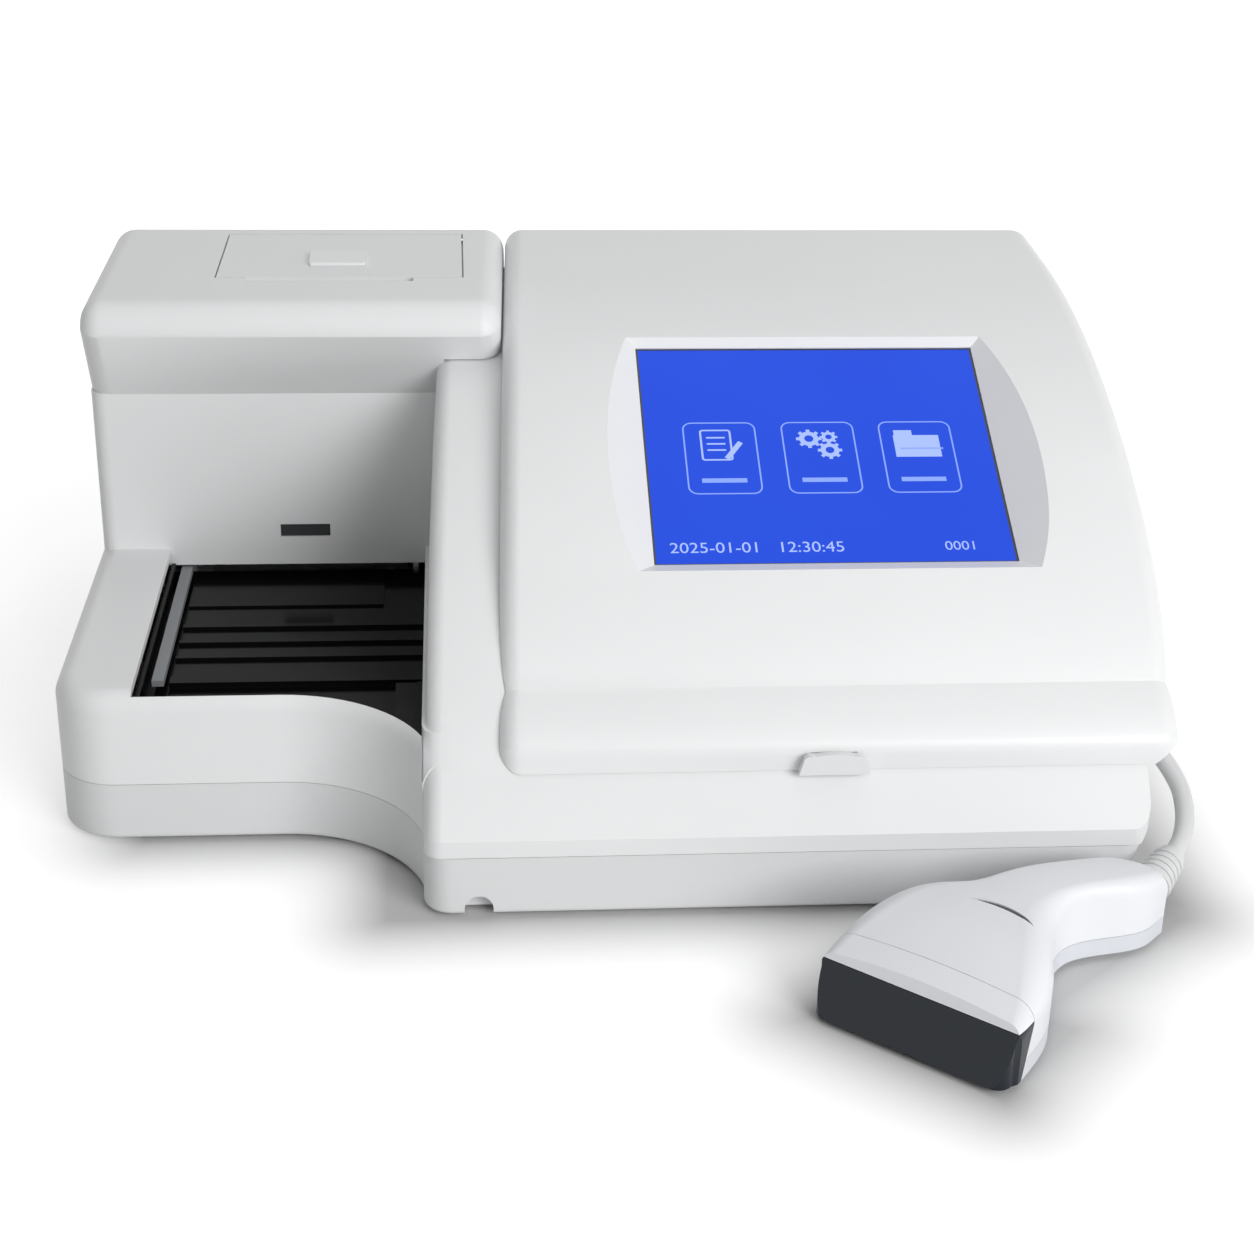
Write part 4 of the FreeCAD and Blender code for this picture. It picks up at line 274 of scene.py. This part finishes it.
case_white = moulded("case_white", (0.79, 0.797, 0.802), 0.42)
# The cover's white is a lighter copy of the case white: painted light. Its lower roughness is its
# own gloss.
lid_white_painted_light = moulded("lid_white_painted_light", (0.82, 0.828, 0.833), 0.36)
# The lower case's white is a darker copy of the case white: painted shade.
base_white_painted_shade = moulded("base_white_painted_shade", (0.70, 0.707, 0.712), 0.44)
reader_grey = moulded("reader_grey", (0.80, 0.812, 0.84), 0.38, grain=1500, strength=0.3)
grip_grey = moulded("grip_grey", (0.66, 0.68, 0.72), 0.42, grain=1500, strength=0.3)
cord_grey = moulded("cord_grey", (0.68, 0.685, 0.69), 0.5, grain=900, strength=0.2)
inner_grey = moulded("inner_grey", (0.22, 0.23, 0.24), 0.45)
socket_black = moulded("socket_black", (0.018, 0.019, 0.021), 0.38)
foot_rubber = moulded("foot_rubber", (0.022, 0.022, 0.023), 0.82, grain=700, strength=0.4)
belt_rubber = moulded("belt_rubber", (0.03, 0.03, 0.032), 0.7, grain=1200, strength=0.3)
roll_paper = moulded("roll_paper", (0.86, 0.86, 0.84), 0.85, grain=1800, strength=0.2)
board_green = moulded("board_green", (0.02, 0.14, 0.055), 0.35)
tray_black = Finish("tray_black", (0.004, 0.004, 0.0045), 0.2, Specular_IOR_Level=0.09)
tray_black.relief(tray_black.noise(60, 2), 0.06, 0.0002)
tray_black.sheen_spots(tray_black.noise(45, 4), 0.12, 0.2)
scan_black = Finish("scan_black", (0.014, 0.018, 0.025), 0.26, Specular_IOR_Level=0.25,
                    Coat_Weight=0.1, Coat_Roughness=0.1)
scan_black.sheen_spots(scan_black.noise(60, 3), 0.19, 0.27)
dark_lens = Finish("dark_lens", (0.05, 0.052, 0.056), 0.25)
dark_lens.sheen_spots(dark_lens.noise(120, 3), 0.2, 0.32)


def brushed(name, colour, roughness, stretch):
    """Brushed metal: fine parallel lines in its gloss, relief and tone."""
    made = Finish(name, colour, roughness, Metallic=1.0)
    lines = made.noise(40, 5, stretch)
    made.sheen_spots(lines, roughness * 0.75, roughness * 1.3)
    made.relief(lines, 0.15, LINE_DEPTH)
    made.tone(lines, tuple(c * 0.9 for c in colour))
    return made


badge_metal = brushed("badge_metal", (0.50, 0.505, 0.52), 0.36, (1, 40, 40))
rod_steel = brushed("rod_steel", (0.62, 0.63, 0.65), 0.28, (2, 30, 2))
sheet_metal = brushed("sheet_metal", (0.66, 0.67, 0.69), 0.4, (3, 60, 60))

dress(case_white, "upper_case", "printer_housing", "printer_lid", "latch_button")
dress(lid_white_painted_light, "cover", "lid_tab")
dress(base_white_painted_shade, "lower_case")
dress(tray_black, "strip_tray")
dress(inner_grey, "strip_platform", "strip_pusher", "drawer_cradle", "waste_drawer",
      "reading_head", "paper_spindle", "pusher_pulley_left", "pusher_pulley_right",
      "read_pulley_front", "read_pulley_rear")
dress(socket_black, "power_inlet", "switch_body", "switch_rocker", "usb_port", "drive_motors",
      "reading_window", "reader_plug", "print_head", "display_panel")
dress(dark_lens, "sensor_window", "reader_lens")
dress(rod_steel, "case_screws", "pusher_rod", "read_rods", "cover_hinge_pins",
      "lid_hinge_pin", "latch_spring")
dress(sheet_metal, "pusher_frame", "read_frame", "screen_bracket", "power_supply",
      "serial_port")
dress(badge_metal, "badge")
dress(foot_rubber, "rubber_feet", "platen_roller", "reader_pads")
dress(belt_rubber, "pusher_belt", "read_belt")
dress(roll_paper, "paper_roll")
dress(board_green, "main_board", "reader_engine")
dress(reader_grey, "reader_upper_shell", "reader_cap")
dress(grip_grey, "reader_lower_shell", "reader_trigger")
dress(cord_grey, "reader_boot")
dress(scan_black, "reader_bezel")
reader_lead.data.materials.append(cord_grey.material)

screen_blue = Finish("screen_blue", (0.002, 0.006, 0.03), 0.2, Specular_IOR_Level=0.08)
screen_blue.glow(screen_blue.noise(14, 1), (0.0085, 0.062, 0.70), (0.0125, 0.080, 0.76))
dress(screen_blue, "touch_glass")


def lit(name, colour):
    """A drawn mark of the lit screen."""
    made = Finish(name, (0.02, 0.05, 0.2), 0.3, Specular_IOR_Level=0.08)
    made.glow(made.noise(30, 1), colour, tuple(c * 0.9 for c in colour))
    return made


pale_mark = lit("pale_mark", (0.43, 0.54, 0.90))
dim_mark = lit("dim_mark", (0.27, 0.39, 0.88))
screen_edge = moulded("screen_edge", (0.010, 0.011, 0.014), 0.3)


# ------------------------------------------------------- screen marks ----
SCREEN = (122, 104.5)
SCREEN_CENTRE = (259.5, 112, 115.82)
SCREEN_TILT = math.radians(24.8)
GLASS_DEPTH = 0.6
SHEET = 0.00006
LINE_LIFT = 1.4
HUB_LIFT = 2.2


def screen_place():
    """Moves a flat drawing, made in metres round the origin, on to the display's glass."""
    return (Matrix.Translation(place(*SCREEN_CENTRE)) @ Matrix.Rotation(SCREEN_TILT, 4, "X")
            @ Matrix.Translation((0, 0, -GLASS_DEPTH / 1000)))


def drawn(finish):
    """Takes the selected flat piece on to the screen, with its own finish."""
    piece = bpy.context.object
    bpy.ops.object.transform_apply(location=True, rotation=True, scale=True)
    piece.data.materials.append(finish.material)
    return piece


def bar(u, v, wide, high, finish, turn=0.0):
    """A filled oblong round a point of the drawing, in millimetres and degrees."""
    deselect()
    bpy.ops.mesh.primitive_cube_add(size=1, location=(u / 1000, v / 1000, SHEET),
                                    rotation=(0, 0, math.radians(turn)),
                                    scale=(wide / 1000, high / 1000, SHEET))
    return drawn(finish)


def disc(u, v, radius, finish, lift=1.0):
    """A filled circle, lifted by some sheets where it lies on another mark."""
    deselect()
    bpy.ops.mesh.primitive_cylinder_add(vertices=40, radius=radius / 1000, depth=SHEET,
                                        location=(u / 1000, v / 1000, SHEET * lift))
    return drawn(finish)


def frame_line(u, v, wide, high, corner, line, finish):
    """A rounded rectangular outline, inset from a bevelled plane."""
    deselect()
    bpy.ops.mesh.primitive_plane_add(size=1, location=(u / 1000, v / 1000, SHEET * LINE_LIFT))
    bpy.context.object.scale = (wide / 1000, high / 1000, 1)
    bpy.ops.object.transform_apply(location=True, rotation=False, scale=True)
    bpy.ops.object.mode_set(mode="EDIT")
    bpy.ops.mesh.select_all(action="SELECT")
    if corner:
        bpy.ops.mesh.bevel(offset=corner / 1000, affect="VERTICES", segments=6)
        bpy.ops.mesh.select_all(action="SELECT")
    bpy.ops.mesh.inset(thickness=line / 1000)
    bpy.ops.mesh.delete(type="FACE")
    bpy.ops.object.mode_set(mode="OBJECT")
    return drawn(finish)


def digits(text, u, v, high, finish):
    """Plain numbers, made into a flat mesh."""
    curve = bpy.data.curves.new("numbers", "FONT")
    curve.body = text
    curve.size = high / 1000
    curve.align_y = "CENTER"
    line = into_scene("numbers", curve)
    line.location = (u / 1000, v / 1000, SHEET * LINE_LIFT)
    select_only(line)
    bpy.ops.object.convert(target="MESH")
    return drawn(finish)


def gear(u, v, radius, finish):
    """A gear wheel with eight teeth and an open hub."""
    made = [disc(u, v, radius * 0.78, finish)]
    for tooth in range(8):
        angle = math.radians(45 * tooth)
        made.append(bar(u + radius * 0.84 * math.cos(angle), v + radius * 0.84 * math.sin(angle),
                        radius * 0.34, radius * 0.3, finish, 45 * tooth))
    made.append(disc(u, v, radius * 0.36, screen_blue, HUB_LIFT))
    return made


def document(u, v):
    """A sheet with three lines and a pen."""
    made = [frame_line(u - 1.5, v, 11, 15, 1.2, 0.7, pale_mark)]
    made += [bar(u - 1.5, v + 3.6 - 3 * line, 6.5, 0.7, pale_mark) for line in range(3)]
    return made + [bar(u + 4.4, v - 2.6, 9.5, 1.9, pale_mark, 56)]


def folder(u, v):
    """A folder with its tab and a fold line."""
    return [bar(u, v - 1, 16, 10.5, pale_mark), bar(u - 4.4, v + 5.4, 6.4, 2.6, pale_mark),
            bar(u + 1.4, v - 2.2, 15, 0.7, dim_mark)]


def screen_drawing():
    """Three framed menu signs, their captions as bars and a line of plain numbers."""
    made = [frame_line(0, 0, *SCREEN, 0, 0.8, screen_edge)]
    for middle, sign in ((-34.3, document), (0.2, None), (34.5, folder)):
        made.append(frame_line(middle, -2.6, 25.6, 34.6, 3.4, 0.55, dim_mark))
        made.append(bar(middle, -13.4, 15.5, 2.0, dim_mark))
        if sign:
            made += sign(middle, 3.6)
        else:
            for across, along, radius in ((-3.4, 6.4, 4.4), (3.6, 7.2, 3.1), (3.4, 0.8, 4.2)):
                made += gear(middle + across, along, radius, pale_mark)
    made.append(digits("2025-01-01   12:30:45", -55.5, -44.6, 6.6, pale_mark))
    made.append(digits("0001", 37, -44.6, 5.6, pale_mark))
    deselect()
    for piece in made:
        piece.select_set(True)
    bpy.context.view_layer.objects.active = made[0]
    bpy.ops.object.join()
    drawing = bpy.context.object
    drawing.name = "screen_drawing"
    drawing.data.transform(screen_place())
    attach(drawing, "cover")


screen_drawing()


# ------------------------------------------------- smooth moulded skins ----
JOIN_DISTANCE = 0.00002
EDGE_ANGLE = math.radians(28)


def shade_rounds(part):
    """Shades a moulded part's rounds smoothly and keeps its edges."""
    part.data.polygons.foreach_set("use_smooth", [True] * len(part.data.polygons))
    split = part.modifiers.new("keep_edges", "EDGE_SPLIT")
    split.split_angle = EDGE_ANGLE


for node in nodes.values():
    weld = node.modifiers.new("join_facets", "WELD")
    weld.merge_threshold = JOIN_DISTANCE
    shade_rounds(node)


# -------------------------------------------------- front of the rim ----
# The slope's line as (y, z), and how far (x, drop) the left edge's round falls inside it.
RIM_SLOPE = [(12.9, 43.9), (14.7, 45.93), (17, 48.78), (19.2, 51.33), (21.8, 54.2), (24.4, 56.93),
             (27, 59.55)]
EDGE_ROUND = [(121.98, 5.2), (122.5, 3.6), (123, 2.68), (124, 1.53), (125, 0.8), (126, 0.34),
              (128, 0), (133.6, 0)]
ROOM_FRONT = [(27, 64), (8, 64), (8, 43)]
SLOPE_INWARD = (0.75, -0.66)
CLEAR_OF_SLOPE = 0.03


def above_the_slope():
    """The room in front of the rim's slope and its rounded left edge, as a closed block."""
    shape = bmesh.new()
    rings = []
    for x, drop in EDGE_ROUND:
        low = [(y + SLOPE_INWARD[0] * drop, z + SLOPE_INWARD[1] * drop + CLEAR_OF_SLOPE)
               for y, z in RIM_SLOPE]
        rings.append([shape.verts.new(place(x, y, z)) for y, z in low + ROOM_FRONT])
    for here, after in zip(rings, rings[1:]):
        for k in range(len(here)):
            shape.faces.new((here[k - 1], here[k], after[k], after[k - 1]))
    shape.faces.new(rings[0])
    shape.faces.new(reversed(rings[-1]))
    bmesh.ops.recalc_face_normals(shape, faces=shape.faces)
    mesh = bpy.data.meshes.new("slope_room")
    shape.to_mesh(mesh)
    return into_scene("slope_room", mesh)


def upper_case_skin():
    """The upper case with an even slope beside the hollow curve's end."""
    source = nodes["upper_case"]
    mesh = source.data.copy()
    mesh.transform(source.matrix_world)
    joined = bmesh.new()
    joined.from_mesh(mesh)
    bmesh.ops.remove_doubles(joined, verts=joined.verts, dist=JOIN_DISTANCE)
    joined.to_mesh(mesh)
    skin = into_scene("upper_case_skin", mesh)
    room = above_the_slope()
    trim = skin.modifiers.new("trim", "BOOLEAN")
    trim.operation = "DIFFERENCE"
    trim.solver = "EXACT"
    trim.object = room
    select_only(skin)
    bpy.ops.object.modifier_apply(modifier="trim")
    bpy.data.objects.remove(room)
    shade_rounds(skin)
    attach(skin, "case")
    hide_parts("upper_case")


upper_case_skin()


# ------------------------------------------------------------- studio ----
AMBIENT = 0.235
# Painted contact shade on the table, over its real shadow: the camera sees a darker tone, and a
# glow lifts it to white away from the footprints.
PAINTED_SHADE_TABLE_TONE = 0.56
GLOW_OUTSIDE_PAINTED_SHADE = 0.62
PAINTED_SHADE_REACH = 0.05
PAINTED_SHADE_BLEND = 0.03
FAR_GLOW = 0.45
FAR_START = 0.2
FAR_END = 0.9
# Middle, half size and turn of what stands on the table, round which the painted contact shade
# lies: main unit, tower, reader head and grip.
FOOTPRINTS = [((0.055, 0.047), (0.128, 0.1415)), ((-0.112, 0.0735), (0.043, 0.1155)),
              ((0.092, -0.158), (0.022, 0.033), 49.4), ((0.142, -0.118), (0.04, 0.015), 40)]


def watched(tree):
    """One where the camera looks, directly, in a reflection or through glass, else nought."""
    rays = tree.nodes.new("ShaderNodeLightPath")
    seen = rays.outputs["Is Camera Ray"]
    for other in ("Is Glossy Ray", "Is Transmission Ray"):
        either = tree.nodes.new("ShaderNodeMath")
        either.operation = "MAXIMUM"
        tree.links.new(seen, either.inputs[0])
        tree.links.new(rays.outputs[other], either.inputs[1])
        seen = either.outputs[0]
    return seen


def backdrop():
    """A white world that lights the pieces only a little."""
    world = bpy.data.worlds.new("studio_world")
    bpy.context.scene.world = world
    world.use_nodes = True
    tree = world.node_tree
    sky = tree.nodes["Background"]
    sky.inputs["Color"].default_value = (1, 1, 1, 1)
    strength = tree.nodes.new("ShaderNodeMapRange")
    strength.inputs["To Min"].default_value = AMBIENT
    strength.inputs["To Max"].default_value = 1.0
    tree.links.new(watched(tree), strength.inputs["Value"])
    tree.links.new(strength.outputs["Result"], sky.inputs["Strength"])


def outside(paint, middle, half, turn=0):
    """How far a point of the table is outside an oblong footprint, in metres."""
    turned = paint.add("ShaderNodeVectorRotate", rotation_type="Z_AXIS")
    turned.inputs["Center"].default_value = (*middle, 0)
    turned.inputs["Angle"].default_value = math.radians(-turn)
    paint.link(paint.spot, turned.inputs["Vector"])
    folded = paint.vector("ABSOLUTE", paint.vector("SUBTRACT", turned.outputs[0], (*middle, 0)))
    beyond = paint.vector("SUBTRACT", folded, (*half, 0))
    return paint.vector("LENGTH", paint.vector("MAXIMUM", beyond, (0, 0, 0)))


def table():
    """A white table with painted contact shade. The camera sees it darker, and a glow that is
    nought at the footprints and grows away from them lifts it to white. So the real shadow and
    the painted shade stay beside the pieces.
    """
    deselect()
    bpy.ops.mesh.primitive_plane_add(size=12, location=(0, 0, 0))
    top = bpy.context.object
    top.name = "table"
    paint = Finish("table_white", (0.80, 0.80, 0.80), 0.75, Specular_IOR_Level=0.2)
    seen = watched(paint.material.node_tree)
    # The camera sees the table darker, so that the painted shade beside the pieces shows.
    paint.tone(seen, (PAINTED_SHADE_TABLE_TONE, PAINTED_SHADE_TABLE_TONE, PAINTED_SHADE_TABLE_TONE))
    nearest = None
    for oblong in FOOTPRINTS:
        distance = outside(paint, *oblong)
        if nearest:
            either = paint.add("ShaderNodeMath", operation="SMOOTH_MIN")
            paint.link(nearest, either.inputs[0])
            paint.link(distance, either.inputs[1])
            either.inputs[2].default_value = PAINTED_SHADE_BLEND
            distance = either.outputs[0]
        nearest = distance
    # Painted contact shade: no glow at the footprints, full glow a few centimetres away from
    # them.
    glow_outside_painted_shade = paint.between(nearest, -GLOW_OUTSIDE_PAINTED_SHADE, GLOW_OUTSIDE_PAINTED_SHADE, -PAINTED_SHADE_REACH, PAINTED_SHADE_REACH,
                              "SMOOTHERSTEP")
    far_glow = paint.between(paint.vector("LENGTH", paint.spot), 0, FAR_GLOW, FAR_START, FAR_END)
    glow_shader = paint.add("ShaderNodeEmission")
    paint.link(paint.number("MULTIPLY", paint.number("ADD", glow_outside_painted_shade, far_glow), seen),
               glow_shader.inputs["Strength"])
    both = paint.add("ShaderNodeAddShader")
    paint.link(paint.shader.outputs[0], both.inputs[0])
    paint.link(glow_shader.outputs[0], both.inputs[1])
    paint.link(both.outputs[0], paint.nodes["Material Output"].inputs["Surface"])
    top.data.materials.append(paint.material)


def lamp(name, at, aim, size, energy):
    """An oblong area light, in metres and watts."""
    data = bpy.data.lights.new(name, "AREA")
    data.shape = "RECTANGLE"
    data.size, data.size_y = size
    data.energy = energy
    light = into_scene(name, data)
    light.location = at
    light.rotation_euler = (Vector(aim) - Vector(at)).to_track_quat("-Z", "Y").to_euler()


backdrop()
table()
lamp("right_softbox", (1.15, -1.75, 0.95), (0, 0, 0.06), (1.3, 0.9), 33)
lamp("high_softbox", (0.3, -1.5, 1.6), (0, 0, 0.06), (1.4, 1.0), 4.5)
lamp("top_softbox", (0.2, 0.3, 1.7), (0, 0, 0.06), (1.6, 1.4), 6.5)

bpy.context.scene.view_settings.view_transform = "Standard"
